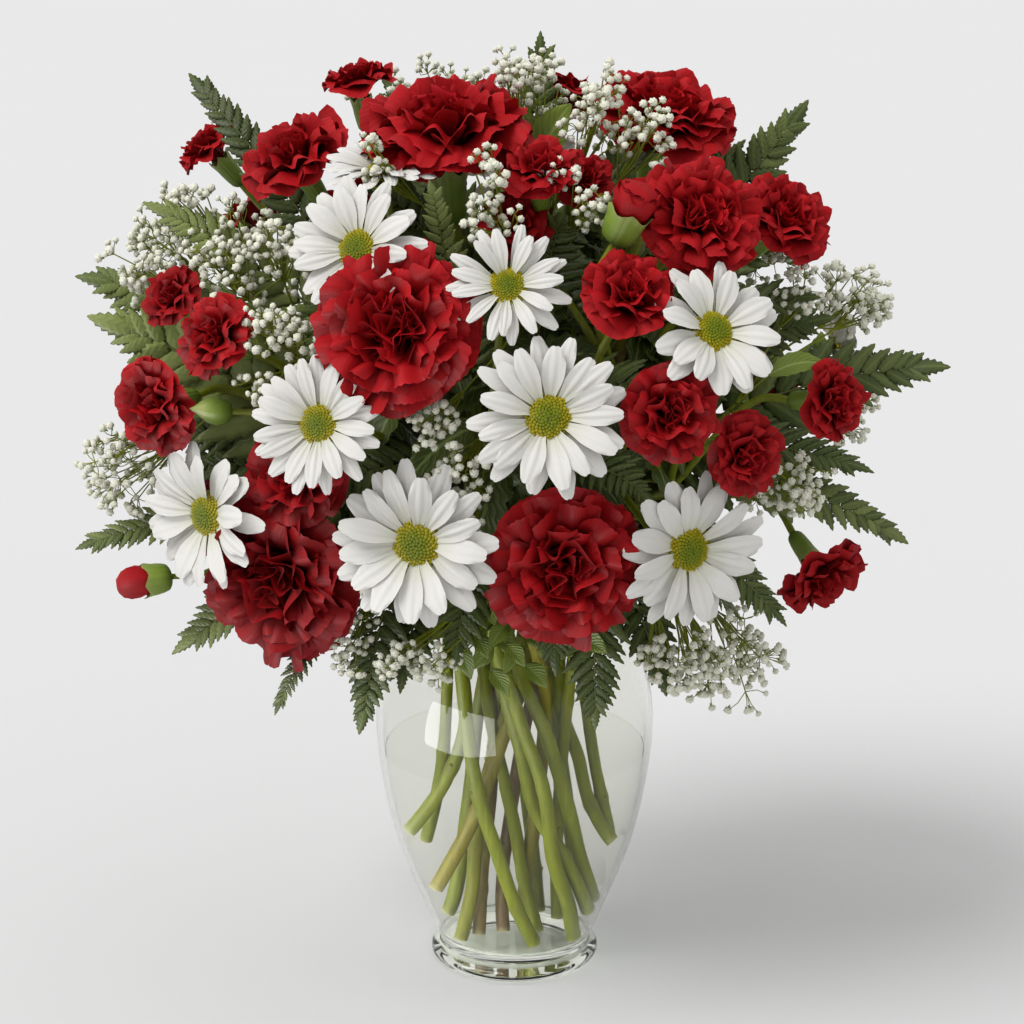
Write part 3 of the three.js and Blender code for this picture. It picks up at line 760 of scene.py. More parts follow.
cup_finish, graph = new_finish("green_cup")
height, ribs = graph.painted("height", "ribs")
grain = graph.noise(graph.place(), 160.0, 2.0)
body = graph.ramp(height, (0.0, (0.08, 0.13, 0.012)), (0.35, (0.15, 0.22, 0.022)),
                  (0.8, (0.20, 0.28, 0.04)), (1.0, (0.30, 0.34, 0.09)))
body = graph.blend(graph.stretched(grain, 0.3, 0.8) * 0.4, body, (0.10, 0.16, 0.02))
surface(graph, Base_Color=body, Roughness=0.5, Specular_IOR_Level=0.25,
        Normal=graph.bump(ribs * 0.5 + grain * 0.2, 0.4, 0.6))

# %% Stem routes and joints
CARNATION_STEM, DAISY_STEM, SPRAY_STEM, BRANCH = 3.4, 3.6, 3.2, 1.8
STEM_SIDES, THIN_STEM_SIDES = 14, 8
STEM_STEP = 2.6
# How long a joint is, how much it swells the stem, and how much of the stem's end has none
JOINT_REACH, JOINT_SWELL, END_WITHOUT_JOINTS = 2.4, 0.17, 12
# Length and radius of each kind of green cup, and of each kind of bud
BIG_CALYX, SMALL_CALYX, DAISY_CUP = (27, 7), (16, 4.5), (6, 6.5)
RED_BUD_CUP, HALF_OPEN_CUP = (12.5, 7.1), (16, 8.4)
BUD_SIZE, RED_BUD_SIZE, HALF_OPEN_SIZE = (13, 4.6), (13, 7.0), (10.5, 9.4)
# Outlines of a bud, as shares of its radius and its length
CLOSED_BUD = [(0.35, 0), (0.8, 0.05), (1.1, 0.2), (1.28, 0.45), (1.12, 0.75), (0.72, 1.0), (0.34, 1.2),
              (0.06, 1.38)]
RED_BUD = [(0.3, 0.1), (0.62, 0.45), (0.86, 0.85), (1.0, 1.2), (0.97, 1.5), (0.8, 1.72), (0.45, 1.87),
           (0.1, 1.9)]
# How far behind a flower's middle its cup ends: a share of its width, or mm for the half-open bloom
CARNATION_RIM, DAISY_RIM = 0.17, 0.04
HALF_OPEN_RIM = 2.0
# A small carnation that is narrower than this, in mm, is only half open
HALF_OPEN = 30
STRAIGHT_END, INTO_CALYX = 18, 2
ABOVE_LIP, OUTWARD, BELOW_FORK = 10, 0.12, 0.12
STEM_PAINTS = ("girth", "tint", "knot", "cut")
CUP_PAINTS = ("height", "ribs")
rng = np.random.default_rng(11)


def behind(place, faces, distance):
    return np.array(place, float) - facing(*faces) * distance


def over_lip(neck, target):
    x, y = (neck[k] + OUTWARD * (target[k] - neck[k]) for k in (0, 1))
    return (x, y, VASE_HEIGHT + ABOVE_LIP)


def last_stretch(place, faces, rim, cup_length):
    end = rim + cup_length
    return [behind(place, faces, end + STRAIGHT_END), behind(place, faces, end - INTO_CALYX)]


def inside_urn(path, girth):
    """The path from where it leaves the glass floor or wall, eased off the wall where it runs close."""
    heights, radii = np.array(OUTER_WALL).T
    room = np.interp(path[:, 2], heights, radii) - GLASS - 0.5 * girth - 0.5
    room[path[:, 2] > VASE_HEIGHT] = np.inf
    reach = np.hypot(path[:, 0], path[:, 1])
    outside = np.flatnonzero((path[:40, 2] < FLOOR_HEIGHT + 0.8) | (reach[:40] > room[:40]))
    first = outside[-1] + 1 if len(outside) else 0
    path = path[first:]
    shift = np.minimum(1, (room[first:] - 0.5 * girth) / (reach[first:] + 1e-9))
    shift[:4] = 1
    path[:, :2] *= shift[:, None]
    return path


def draw_stem(strokes, stops, girth, tint, joints=0.0, thinner=1.0, cut_end=True):
    """A line whose girth swells at joints, every `joints` mm, and tapers to `thinner` of its girth."""
    path = smooth_path(stops, STEM_STEP)
    if cut_end:
        path = inside_urn(path, girth)
        path = np.insert(path, 1, mixed(path[0], path[1], 0.12), axis=0)
    along = distances(path)
    knots = np.zeros(len(path))
    if joints:
        first = joints * rng.uniform(0.3, 0.8)
        apart = joints * rng.uniform(0.8, 1.2)
        for at in np.arange(first, along[-1] - END_WITHOUT_JOINTS, apart):
            knots = np.maximum(knots, np.exp(-((along - at) / JOINT_REACH) ** 2))
            if cut_end:
                leaf_scar(strokes, path, int(np.argmin(np.abs(along - at))), girth, tint)
    sway = 1 + 0.03 * np.sin(along / 17 + rng.uniform(0, 6)) + 0.015 * np.sin(along / 6.1)
    width = girth * np.linspace(1, thinner, len(path)) * sway * (1 + JOINT_SWELL * knots)
    cut = 0.8 * np.exp(-along / 0.3) if cut_end else 0.0
    strokes.add(path, girth=width, tint=tint, knot=knots, cut=cut)


def leaf_scar(strokes, path, at, girth, tint):
    """The stub that is left on a joint where a leaf was pulled off."""
    along = unit(path[min(at + 1, len(path) - 1)] - path[at - 1])
    out = unit(np.cross(along, rng.normal(0, 1, 3)))
    reach = np.array([0.5, 1.05, 1.25])[:, None] * girth
    strokes.add(path[at] + out * reach + along * reach * 0.25, girth=girth * np.array([0.4, 0.3, 0.12]),
                tint=tint, knot=0.7)


def green_cup(shape, place, faces, rim, size, teeth, flare=1.0, scales=0.0):
    """A toothed cup round a flower's axis, from its stem to the flower's rim, with a hollow mouth."""
    length, radius = size
    segments = teeth * 6
    turn = np.linspace(0, 2 * math.pi, segments, endpoint=False) + rng.uniform(0, 1)
    tooth = np.abs(((turn * teeth / (2 * math.pi)) % 1) * 2 - 1) ** 1.3
    rings, heights = [], []
    for share, width in ((0, 0.42), (0.05, 0.62), (0.13, 0.8), (0.3, 0.9), (0.55, 0.96), (0.75, 0.95),
                         (1, 1)):
        ring_radius = radius * width * (1 + (flare - 1) * share**3)
        scaly = 1 + scales * np.cos(turn * teeth + 9 * share)
        rise = length * (share * (0.88 + 0.12 * tooth) + 0.08 * tooth * (share == 1))
        rings.append((ring_radius * scaly, rise))
        heights.append(share)
    rim_radius, rim_rise = rings[-1]
    rings.append((rim_radius - 0.5, rim_rise - 0.3))
    rings.append((rim_radius * 0.86 - 0.5, np.full(segments, 0.55 * length)))
    rings.append((rim_radius * 0.3, np.full(segments, 0.5 * length)))
    heights += [1.0, 0.6, 0.5]
    local = np.array([np.stack([r * np.cos(turn), r * np.sin(turn), z], axis=-1) for r, z in rings])
    points, cup_faces = barrel(local)
    ribs = np.concatenate([np.tile(np.cos(turn * teeth * 3), len(rings)), [0, 0]])
    height = np.concatenate([np.repeat(heights, segments), [0, 0.5]])
    turned = points @ axes_of(facing(*faces)) + behind(place, faces, rim + length)
    shape.add(turned, cup_faces, height=height, ribs=ribs)


def bud(shape, place, faces, size, profile):
    """A closed egg on a flower's axis, from radius and height shares, with five soft ribs."""
    length, radius = size
    turn = np.linspace(0, 2 * math.pi, 20, endpoint=False)
    rings = []
    for share, rise in profile:
        reach = share * radius * (1 + 0.08 * np.cos(5 * turn + 3 * rise))
        ring = [reach * np.cos(turn), reach * np.sin(turn), rise * length + 0 * turn]
        rings.append(np.stack(ring, axis=-1))
    points, bud_faces = barrel(rings)
    height = np.clip(points[:, 2] / length, 0, 1)
    around = np.arctan2(points[:, 1], points[:, 0])
    turned = points @ axes_of(facing(*faces)) + behind(place, faces, length)
    shape.add(turned, bud_faces, height=height, ribs=np.cos(15 * around),
              along=0.55 + 0.4 * height, across=np.sin(2.5 * around + 4 * height), tint=0.4, tone=0.3)


print("stem, cup and bud helpers ready")

# %% Carnation stems
# From fresh green at 0 over olive at 0.6 to brown at 1
STEM_TINTS = {
    "carnation_front_left": 0.3, "carnation_low_left": 0.2, "carnation_low_centre": 0.1,
    "carnation_upper_right": 0.62, "carnation_top_right": 0.45, "carnation_top_left": 0.15,
    "mini_left": 0.35, "mini_top_left": 0.85, "mini_upper_right": 0.95, "mini_right": 0.4,
    "daisy_front": 0.25, "daisy_left": 0.1, "daisy_right": 0.55, "daisy_back": 0.2,
}
USUAL_TINT, BRANCH_TINT = 0.3, 0.2
JOINT_SPACING = 62


def node_of(plant, part):
    """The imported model's name for a part of a plant. A plant at the back is one node."""
    return plant if plant in AT_BACK else plant + part


for name, (width, place, faces, route) in CARNATIONS.items():
    rim = CARNATION_RIM * width
    strokes = Strokes(*STEM_PAINTS)
    stops = [*route, over_lip(route[-1], place), *last_stretch(place, faces, rim, BIG_CALYX[0])]
    draw_stem(strokes, stops, CARNATION_STEM, STEM_TINTS.get(name, USUAL_TINT), JOINT_SPACING, 0.82)
    node = node_of(name, "_stem")
    piece(name + "_stem", tubes(name + "_stem", strokes, STEM_SIDES), "stem", node)
    cups = Shape(*CUP_PAINTS)
    green_cup(cups, place, faces, rim, BIG_CALYX, teeth=5, flare=1.12)
    piece(name + "_calyx", cups.mesh(name + "_calyx", cup_finish, CUP_CREASE), "stem", node)

# %% Spray stems
for sprays, size, rim_share, joints, girth in (
        (MINI_SPRAYS, SMALL_CALYX, CARNATION_RIM, JOINT_SPACING, SPRAY_STEM),
        (DAISY_SPRAYS, DAISY_CUP, DAISY_RIM, 0, DAISY_STEM)):
    for name, (fork, route, flowers) in sprays.items():
        lip = over_lip(route[-1], fork)
        strokes = Strokes(*STEM_PAINTS)
        draw_stem(strokes, [*route, lip, fork], girth, STEM_TINTS.get(name, USUAL_TINT), joints, 0.75)
        below_fork = mixed(fork, lip, BELOW_FORK)
        cups = Shape(*CUP_PAINTS)
        for width, place, faces in flowers:
            rim = rim_share * width
            branch = [below_fork, *last_stretch(place, faces, rim, size[0])]
            draw_stem(strokes, branch, BRANCH, BRANCH_TINT, joints * 0.6, 0.9, cut_end=False)
            if not joints:
                green_cup(cups, place, faces, rim, size, teeth=13, flare=1.3, scales=0.06)
            elif width < HALF_OPEN:
                green_cup(cups, place, faces, HALF_OPEN_RIM, HALF_OPEN_CUP, teeth=5, flare=1.15)
            else:
                green_cup(cups, place, faces, rim, size, teeth=5, flare=1.15)
        for place, faces, shows_petals in BUDS.get(name, ()):
            branch = [below_fork, *last_stretch(place, faces, 0, BUD_SIZE[0])]
            draw_stem(strokes, branch, BRANCH * 0.8, BRANCH_TINT, joints * 0.6, 0.9, cut_end=False)
            if shows_petals:
                green_cup(cups, place, faces, 0, RED_BUD_CUP, teeth=5, flare=1.1)
            else:
                bud(cups, place, faces, BUD_SIZE, CLOSED_BUD)
        node = node_of(name, "_stem")
        piece(name + "_stem", tubes(name + "_stem", strokes, STEM_SIDES), "stem", node)
        piece(name + "_cups", cups.mesh(name + "_cups", cup_finish, CUP_CREASE), "stem", node)

# %% [markdown]
# ## Carnation petals
# A carnation has forty and more petals on narrow claws that stand in the calyx. Each blade fans
# out, ruffles more and more towards its edge, and ends in small teeth. The middle petals stand up
# and crumple, the outer ones lie flat, and a tuft of short ones closes the middle. Every petal is
# one skin on a grid: a bent midrib gives the rows, and waves that grow towards the edge lift the
# columns. The golden angle spreads them round. The red is painted nearly black deep down on the
# claws, as painted shade, and lighter at the very rim, as a painted highlight on the edges.

# %% Carnation finish
carnation_finish, graph = new_finish("carnation_petal")
along, across, tint, tone = graph.painted("along", "across", "tint", "tone")
vein_space = graph.triple(across * 9.0, along * 1.4, tint * 31.0)
veins = graph.noise(vein_space, 2.2, 3.0, 0.55)
# Painted shade: nearly black deep down on the claws. Painted highlight: lighter at the very rim.
body = graph.ramp(along, (0.0, (0.03, 0.001, 0.001)), (0.45, (0.13, 0.001, 0.002)),
                  (0.8, (0.33, 0.004, 0.006)), (0.96, (0.43, 0.007, 0.011)),
                  (1.0, (0.52, 0.016, 0.024)))
body = graph.blend(graph.stretched(tint, 0.0, 1.0) * 0.4, body, (0.28, 0.002, 0.006))
body = graph.blend(graph.stretched(veins, 0.45, 0.75) * 0.4, body, (0.16, 0.001, 0.003))
# Painted shade over a whole bloom: tone darkens every petal of it towards a deep red.
body = graph.blend(tone, body, (0.12, 0.001, 0.002))
surface(graph, Base_Color=body, Roughness=graph.stretched(veins, 0.3, 0.7, 0.55, 0.7),
        Specular_IOR_Level=0.12, Normal=graph.bump(veins, 0.35, 0.5))

# %% One carnation
BIG_BLOOM, SMALL_BLOOM = (40, 10, 25), (24, 8, 17)
BIG_OPENED, SMALL_OPENED, PEEPING_OPENED, HALF_OPENED = 104, 98, 96, 42
PETAL_THICKNESS = 0.35


def carnation_bloom(shape, width, place, faces, make, opened, tone, seed):
    """A carnation's petals, and a tuft of a quarter more in the middle. make is how many petals
    there are and the rows and columns of points in each. opened, in degrees, is how far round the
    outermost petals lie. Petals are worked out as shares of the bloom's width."""
    rng = np.random.default_rng(seed)
    petals, rows, columns = make
    t = np.linspace(0, 1, rows)[:, None]
    s = np.linspace(-1, 1, columns)[None, :]
    own_axes = axes_of(facing(*faces), rng.uniform(0, 6))
    widest = 1 - math.cos(math.radians(opened))
    curl = 0.6 if opened > 90 else 0.1
    for n in range(-petals // 4, petals):
        share = max(n + 0.5, 0) / petals
        polar = math.acos(1 - share**1.2 * widest) + rng.normal(0, 0.06)
        turn = n * GOLDEN_ANGLE + rng.normal(0, 0.14)
        tip = np.array([0.53 * math.sin(polar) * rng.uniform(0.93, 1.01),
                        0.29 * math.cos(polar) - 0.03 + rng.uniform(-0.03, 0.02)])
        if n < 0:
            tip = np.array([rng.uniform(-0.07, 0.11), rng.uniform(0.14, 0.25)])
        base = np.array([0.03, -0.26])
        middle = np.array([0.03 + 0.38 * tip[0], 0.35 * tip[1] + 0.13 * math.sin(polar) + 0.02])
        reach = t * (1 - 0.17 * s**2) * rng.uniform(0.95, 1.01)
        reach[-1] += 0.007 * np.where(np.arange(columns) % 2, 1, -1) * rng.uniform(0.2, 1.5, columns)
        near, far = (1 - reach)[..., None], reach[..., None]
        rib = near**2 * base + 2 * near * far * middle + far**2 * tip
        slope = near * (middle - base) + far * (tip - middle)
        slope /= np.linalg.norm(slope, axis=2, keepdims=True) + 1e-9
        edge = eased(0.1, 1.05, reach)
        half_width = 0.025 + (0.17 + 0.09 * share + rng.uniform(-0.02, 0.03)) * eased(0.05, 0.85, reach)
        sideways = half_width * s
        waves = rng.uniform(1.2, 2.1) * (1.15 - 0.3 * share)
        ruffle = np.sin(math.pi * waves * s + rng.uniform(0, 6) + 0.9 * t)
        ruffle = ruffle + 0.2 * np.sin(math.pi * 2.1 * waves * s + rng.uniform(0, 6)) * t**2
        lift = (0.072 - 0.03 * share) * edge**1.4 * ruffle
        cupped = sideways**2 / (2 * (0.2 + curl * share))
        rolled = sideways * rng.normal(0, 0.17) * edge * (1.1 - 0.5 * share)
        tucked = (0.035 * math.sin(polar) if n >= 0 else 0.06) * eased(0.7, 1.0, reach)
        lift = lift + cupped + rolled - tucked
        out = rib[..., 0] - lift * slope[..., 1]
        height = rib[..., 1] + lift * slope[..., 0]
        c, k = math.cos(turn), math.sin(turn)
        grid = np.stack([out * c - sideways * k, out * k + sideways * c, height], axis=-1) * width
        grid = grid @ own_axes + np.array(place, float)
        shape.add_leaf(grid, PETAL_THICKNESS, np.clip(reach, 0, 1), s, tint=rng.uniform(), tone=tone)


print("petals in a large carnation:", BIG_BLOOM[0] + BIG_BLOOM[0] // 4)

# %% Carnation blooms
BLOOM_PAINTS = ("along", "across", "tint", "tone")
# How much painted shade darkens a whole bloom's red, where it differs from the others
SHADED_BLOOM_TONES = {"carnation_low_left": 0.45, "carnation_low_centre": 0.2, "mini_right": 0.25}
BIG_TONE, SMALL_TONE, PEEPING_TONE = 0.05, 0.08, 0.3
HALF_OPEN_SPREAD = 1.08
for seed, (name, (width, place, faces, route)) in enumerate(CARNATIONS.items(), 100):
    petals = Shape(*BLOOM_PAINTS)
    tone = SHADED_BLOOM_TONES.get(name, BIG_TONE)
    carnation_bloom(petals, width, place, faces, BIG_BLOOM, BIG_OPENED, tone, seed)
    mesh = petals.mesh(name + "_petals", carnation_finish, PETAL_CREASE)
    piece(name + "_petals", mesh, "petal_red", node_of(name, "_bloom"))

for name, (fork, route, flowers) in MINI_SPRAYS.items():
    tone = SHADED_BLOOM_TONES.get(name, SMALL_TONE)
    for number, (width, place, faces) in enumerate(flowers, 1):
        petals = Shape(*BLOOM_PAINTS)
        seed = width + number
        opened = SMALL_OPENED
        if width < HALF_OPEN:
            bud(petals, place, faces, HALF_OPEN_SIZE, RED_BUD)
            opened = HALF_OPENED
            width = width * HALF_OPEN_SPREAD
        carnation_bloom(petals, width, place, faces, SMALL_BLOOM, opened, tone, seed)
        mesh = petals.mesh(f"{name}_petals_{number}", carnation_finish, PETAL_CREASE)
        piece(f"{name}_petals_{number}", mesh, "petal_red", node_of(name, f"_bloom_{number}"))

# %% [markdown]
# ## Blooms that peep out
# Between the outer flowers a few small carnations peep out from deeper in the bouquet, darker for
# want of light, and a red bud looks out at its left. They are grown by the same functions as the
# others, each bloom with a calyx and the end of its own branch. All are gathered in one piece for
# their petals, one for their cups and one for their stems, since only a little of each can be seen.

# %% Blooms that peep out
# Width, middle, the way it looks, and where its branch starts
PEEPING = [
    (30, (-146, -62, 328), (-40, 35), (-100, -30, 290)), (34, (0, -80, 362), (-5, 45), (0, -50, 310)),
    (30, (27, -74, 380), (10, 50), (20, -50, 330)), (48, (-92, -96, 258), (-25, 15), (-60, -50, 240)),
]
PEEPING_SIDES = 10
petals = Shape(*BLOOM_PAINTS)
strokes = Strokes(*STEM_PAINTS)
cups = Shape(*CUP_PAINTS)
for place, faces, shows_petals in BUDS["mini_left"]:
    if shows_petals:
        bud(petals, place, faces, RED_BUD_SIZE, RED_BUD)
for seed, (width, place, faces, start) in enumerate(PEEPING, 300):
    carnation_bloom(petals, width, place, faces, SMALL_BLOOM, PEEPING_OPENED, PEEPING_TONE, seed)
    rim = CARNATION_RIM * width
    green_cup(cups, place, faces, rim, SMALL_CALYX, teeth=5, flare=1.15)
    branch = [start, *last_stretch(place, faces, rim, SMALL_CALYX[0])]
    draw_stem(strokes, branch, BRANCH, BRANCH_TINT, cut_end=False)
piece("peeping_petals", petals.mesh("peeping_petals", carnation_finish, PETAL_CREASE), "petal_red")
piece("peeping_cups", cups.mesh("peeping_cups", cup_finish, CUP_CREASE), "stem")
piece("peeping_stems", tubes("peeping_stems", strokes, PEEPING_SIDES), "stem")

# %% [markdown]
# ## Daisy heads
# A florist's daisy is a chrysanthemum: ten to fifteen white petals in each of two rings, each petal
# grooved along its length and faintly notched at its tip, round a disc of nearly two hundred tiny
# florets. Both are Geometry Nodes: rings of one petal with random tilt and size, and florets set at
# the golden angle, which packs them evenly. The disc is green in the middle and yellow at its rim.

# %% Daisy finishes
daisy_finish, graph = new_finish("daisy_petal")
along, across, tint = graph.painted("along", "across", "tint")
grooves = (across * 9.4).of("COSINE")
fine = graph.noise(graph.triple(across * 14.0, along * 1.6, tint * 17.0), 2.0, 3.0)
body = graph.ramp(along, (0.0, (0.36, 0.39, 0.17)), (0.16, (0.56, 0.56, 0.46)),
                  (0.5, (0.635, 0.62, 0.59)), (1.0, (0.65, 0.635, 0.605)))
body = graph.blend(graph.stretched(tint, 0.2, 1.0) * 0.3, body, (0.56, 0.545, 0.51))
body = graph.blend(graph.stretched(fine, 0.5, 0.8) * 0.3, body, (0.52, 0.505, 0.46))
surface(graph, Base_Color=body, Roughness=0.55, Specular_IOR_Level=0.2,
        Normal=graph.bump(grooves * 0.6 + fine * 0.5, 0.3, 0.5))

disc_finish, graph = new_finish("daisy_disc")
ring, tint = graph.painted("ring", "tint")
body = graph.ramp(ring + tint * 0.12 - 0.06, (0.0, (0.10, 0.135, 0.003)), (0.45, (0.15, 0.175, 0.004)),
                  (0.68, (0.26, 0.235, 0.006)), (0.88, (0.36, 0.29, 0.008)), (1.0, (0.42, 0.35, 0.015)))
surface(graph, Base_Color=body, Roughness=0.6, Specular_IOR_Level=0.15,
        Normal=graph.bump(graph.noise(graph.place(), 900.0), 0.2, 0.5))

# %% The tree of petals
daisy_tree, graph, given = growing_tree(
    "two_rings_of_petals", Petal="Object", Count="Int", Inner_Tilt="Float", Outer_Tilt="Float",
    Seed="Int", Finish="Material")
one_petal = graph.one_of(given.beside("Petal"))
count = given.beside("Count")
index = graph.node("GeometryNodeInputIndex")
whorls = []
for ring_number, (tilt, size, start) in enumerate((("Outer_Tilt", 1.0, 0.0), ("Inner_Tilt", 0.93, 0.5))):
    seed = given.beside("Seed") + 10 * ring_number
    tilted = given.beside(tilt) + graph.random(-0.1, 0.1, seed + 1)
    bearing = (index + start + graph.random(-0.22, 0.22, seed + 2)) / count * math.tau
    rolled = graph.random(-0.28, 0.28, seed + 3)
    length = graph.random(0.93, 1.03, seed + 4) * size
    breadth = graph.random(0.88, 1.1, seed + 5)
    whorl = graph.node("GeometryNodeInstanceOnPoints", {}, {
        "Points": graph.node("GeometryNodePoints", {}, {"Count": count}), "Instance": one_petal,
        "Rotation": graph.triple(rolled, tilted * -1.0, bearing),
        "Scale": graph.triple(length, breadth, 1.0)})
    whorls.append(graph.marked(whorl, "tint", graph.random(0.0, 1.0, seed + 6), "INSTANCE"))
graph.end(graph.node("GeometryNodeJoinGeometry", {}, {"Geometry": whorls}), given.beside("Finish"))
print("petal tree:", len(daisy_tree.nodes), "nodes")

# %% The tree of florets
disc_tree, graph, given = growing_tree(
    "golden_angle_disc", Floret="Object", Count="Int", Radius="Float", Dome="Float", Seed="Int",
    Finish="Material")
index = graph.node("GeometryNodeInputIndex")
count = given.beside("Count")
seed = given.beside("Seed")
how_far = ((index + 0.5) / count) ** 0.5
turn = index * GOLDEN_ANGLE
out = how_far * given.beside("Radius")
height = (1.0 - how_far * how_far) * given.beside("Dome")
spiral = graph.triple(out * turn.of("COSINE"), out * turn.of("SINE"), height)
points = graph.node("GeometryNodePoints", {}, {"Count": count, "Position": spiral})
points = graph.marked(points, "ring", how_far)
points = graph.marked(points, "tint", graph.random(0.0, 1.0, seed))
size = graph.random(0.85, 1.15, seed + 1)
florets = graph.node("GeometryNodeInstanceOnPoints", {}, {
    "Points": points, "Instance": graph.one_of(given.beside("Floret")),
    "Rotation": graph.triple(0.0, how_far * 0.7, turn),
    "Scale": graph.triple(size, size, size * (0.8 + how_far * 0.5))})
graph.end(florets, given.beside("Finish"))
print("floret tree:", len(disc_tree.nodes), "nodes")

# %% One petal and one floret
LEAF_THICKNESS = 0.45


def daisy_petal(width, breadth):
    """A petal along +X for a head this wide: three shallow grooves, and a notched round tip.
    It is worked out as shares of the head's width."""
    t = np.linspace(0, 1, 10)[:, None]
    s = np.linspace(-1, 1, 9)[None, :]
    tip_round = 1 - 0.17 * np.abs(s) ** 2.6 - 0.02 * np.exp(-(s / 0.2) ** 2)
    out = 0.10 + 0.40 * t * (1 + (tip_round - 1) * t**3)
    half_width = breadth * (0.022 + 0.045 * eased(0.0, 0.55, t) - 0.014 * eased(0.75, 1.0, t))
    groove = 0.006 * np.cos(s * math.pi * 1.5) * np.sin(math.pi * np.clip(t, 0.05, 0.95))
    height = 0.035 * np.sin(math.pi * 0.62 * t) - 0.035 * t**3 + 0.016 * s**2 * (1 - 0.6 * t) + groove
    grid = np.stack([out + 0 * s, -half_width * s, height], axis=-1) * width
    petal = Shape("along", "across")
    petal.add_leaf(grid, LEAF_THICKNESS, t, s)
    return petal.mesh("daisy_petal_pattern", daisy_finish, PETAL_CREASE)


def disc_floret(size):
    rings = turned_rings([(0.8, -0.3), (0.95, 0.55), (0.4, 1.05)], 6) * size
    floret = Shape()
    floret.add(*barrel(rings))
    return floret.mesh("disc_floret_pattern", disc_finish)


print("petal and floret helpers ready")

# %% Daisy heads
FLORETS = 190
# The disc's radius and rise are shares of the head's width, its dome is a share of its radius, and a
# floret's size is a share of the room that each has
DISC_RADIUS, DISC_RISE, DISC_DOME, FLORET_SIZE = 0.142, 0.025, 0.4, 0.66
INNER_TILT, OUTER_TILT = 0.3, 0.12
# How many petals in a ring and how broad they are, where a head differs from the others
USUAL_LOOK = (15, 0.9)
DAISY_LOOKS = {
    ("daisy_front", 1): (13, 0.95), ("daisy_front", 2): (11, 0.82), ("daisy_front", 3): (13, 1.0),
    ("daisy_left", 1): (12, 1.0), ("daisy_left", 3): (13, 0.88), ("daisy_left", 4): (11, 1.0),
    ("daisy_right", 1): (10, 1.15), ("daisy_right", 2): (12, 1.0),
}
for name, (fork, route, flowers) in DAISY_SPRAYS.items():
    for number, (width, place, faces) in enumerate(flowers, 1):
        where = Matrix(axes_of(facing(*faces), number * 0.7).T.tolist()).to_4x4()
        where.translation = Vector(place) * MM
        node = node_of(name, f"_head_{number}")
        seed = number * 37 + round(width)
        count, breadth = DAISY_LOOKS.get((name, number), USUAL_LOOK)
        petal = pattern("petal", daisy_petal(width, breadth))
        head = grown(daisy_tree, f"{name}_petals_{number}", Petal=petal, Count=count,
                     Inner_Tilt=INNER_TILT, Outer_Tilt=OUTER_TILT, Seed=seed, Finish=daisy_finish)
        head.transform(where)
        piece(head.name, head, "petal_white", node)
        radius = DISC_RADIUS * width
        floret = pattern("floret", disc_floret(FLORET_SIZE * radius * 2 / math.sqrt(FLORETS)))
        disc = grown(disc_tree, f"{name}_disc_{number}", Floret=floret, Count=FLORETS,
                     Radius=radius * MM, Dome=DISC_DOME * radius * MM, Seed=seed, Finish=disc_finish)
        disc.transform(Matrix.Translation((0, 0, DISC_RISE * width * MM)))
        disc.transform(where)
        piece(disc.name, disc, "petal_white", node)

# %% [markdown]
# ## Fern fronds
# Leatherleaf fern gives the bouquet its dark green and its ragged outline. The end of a frond, which
# is the part that shows, has toothed leaflets in pairs along a rib, shorter and shorter towards the
# tip. One tree sets a leaflet in pairs along a rib, each with its own small turn, size and tint,
# and closer together near the tip. The frond is grown flat, and then bent along the path that its
# rib takes through the bouquet. Each frond is given a paleness of its own, which lightens its green.

# %% Fern finish
fern_finish, graph = new_finish("fern_leaf")
along, across, tint, rib = graph.painted("along", "across", "tint", "rib")
mottling = graph.noise(graph.place(), 120.0, 2.0)
dark = graph.blend(mottling, (0.038, 0.056, 0.013), (0.080, 0.108, 0.026))
pale = graph.blend(mottling, (0.17, 0.215, 0.055), (0.27, 0.315, 0.105))
body = graph.blend(graph.stretched(tint, 0.35, 1.15), dark, pale)
body = graph.blend(graph.stretched(along, 0.5, 1.1) * 0.3, body, (0.13, 0.165, 0.035))
body = graph.blend(graph.stretched(across.of("ABSOLUTE"), 0.3, 0.0) * 0.4, body, (0.17, 0.205, 0.06))
body = graph.blend(rib, body, (0.12, 0.13, 0.03))
leaf_veins = (along * 34.0 + across.of("ABSOLUTE") * 9.0).of("SINE")
surface(graph, Base_Color=body, Roughness=graph.stretched(mottling, 0.2, 0.8, 0.40, 0.55),
        Specular_IOR_Level=0.25, Normal=graph.bump(leaf_veins * 0.4 + mottling * 0.3, 0.25, 0.5))

# %% The pinnate tree
pinnate_tree, graph, given = growing_tree(
    "leaflets_in_pairs", Leaflet="Object", Pairs="Int", Length="Float", Bare="Float", Size="Float",
    Smallest="Float", Taper="Float", Angle="Float", Sweep="Float", Rib="Float", Lean="Float",
    Breadth="Float", Seed="Int", Finish="Material")
index = graph.node("GeometryNodeInputIndex")
pairs = given.beside("Pairs")
bare = given.beside("Bare")
lean = given.beside("Lean")
seed = given.beside("Seed")
right_or_left = index.of("MODULO", 2.0)
is_side = index.of("LESS_THAN", pairs * 2.0 - 0.5)
how_far = ((index * 0.5).of("FLOOR") + right_or_left * 0.4) / pairs
how_far = how_far.of("MINIMUM", 1.0)
left_to_go = (1.0 - how_far).of("MAXIMUM", 0.0)
out = given.beside("Length") * (bare + (1.0 - bare) * (1.0 - left_to_go ** 1.5))
turn = (1.0 - right_or_left * 2.0) * (given.beside("Angle") - given.beside("Sweep") * how_far) * is_side
turn = turn + graph.random(-0.07, 0.07, seed + 1)
size = (left_to_go ** given.beside("Taper")).of("MAXIMUM", given.beside("Smallest"))
size = (size + (1.0 - is_side) * 0.14) * given.beside("Size") * graph.random(0.92, 1.08, seed + 2)
leaning = graph.random(lean * -1.0, lean, seed + 3)
rolling = graph.random(lean * -1.5, lean * 1.5, seed + 4)
points = graph.node("GeometryNodePoints", {}, {
    "Count": pairs * 2.0 + 1.0, "Position": graph.triple(out, 0.0, 0.0)})
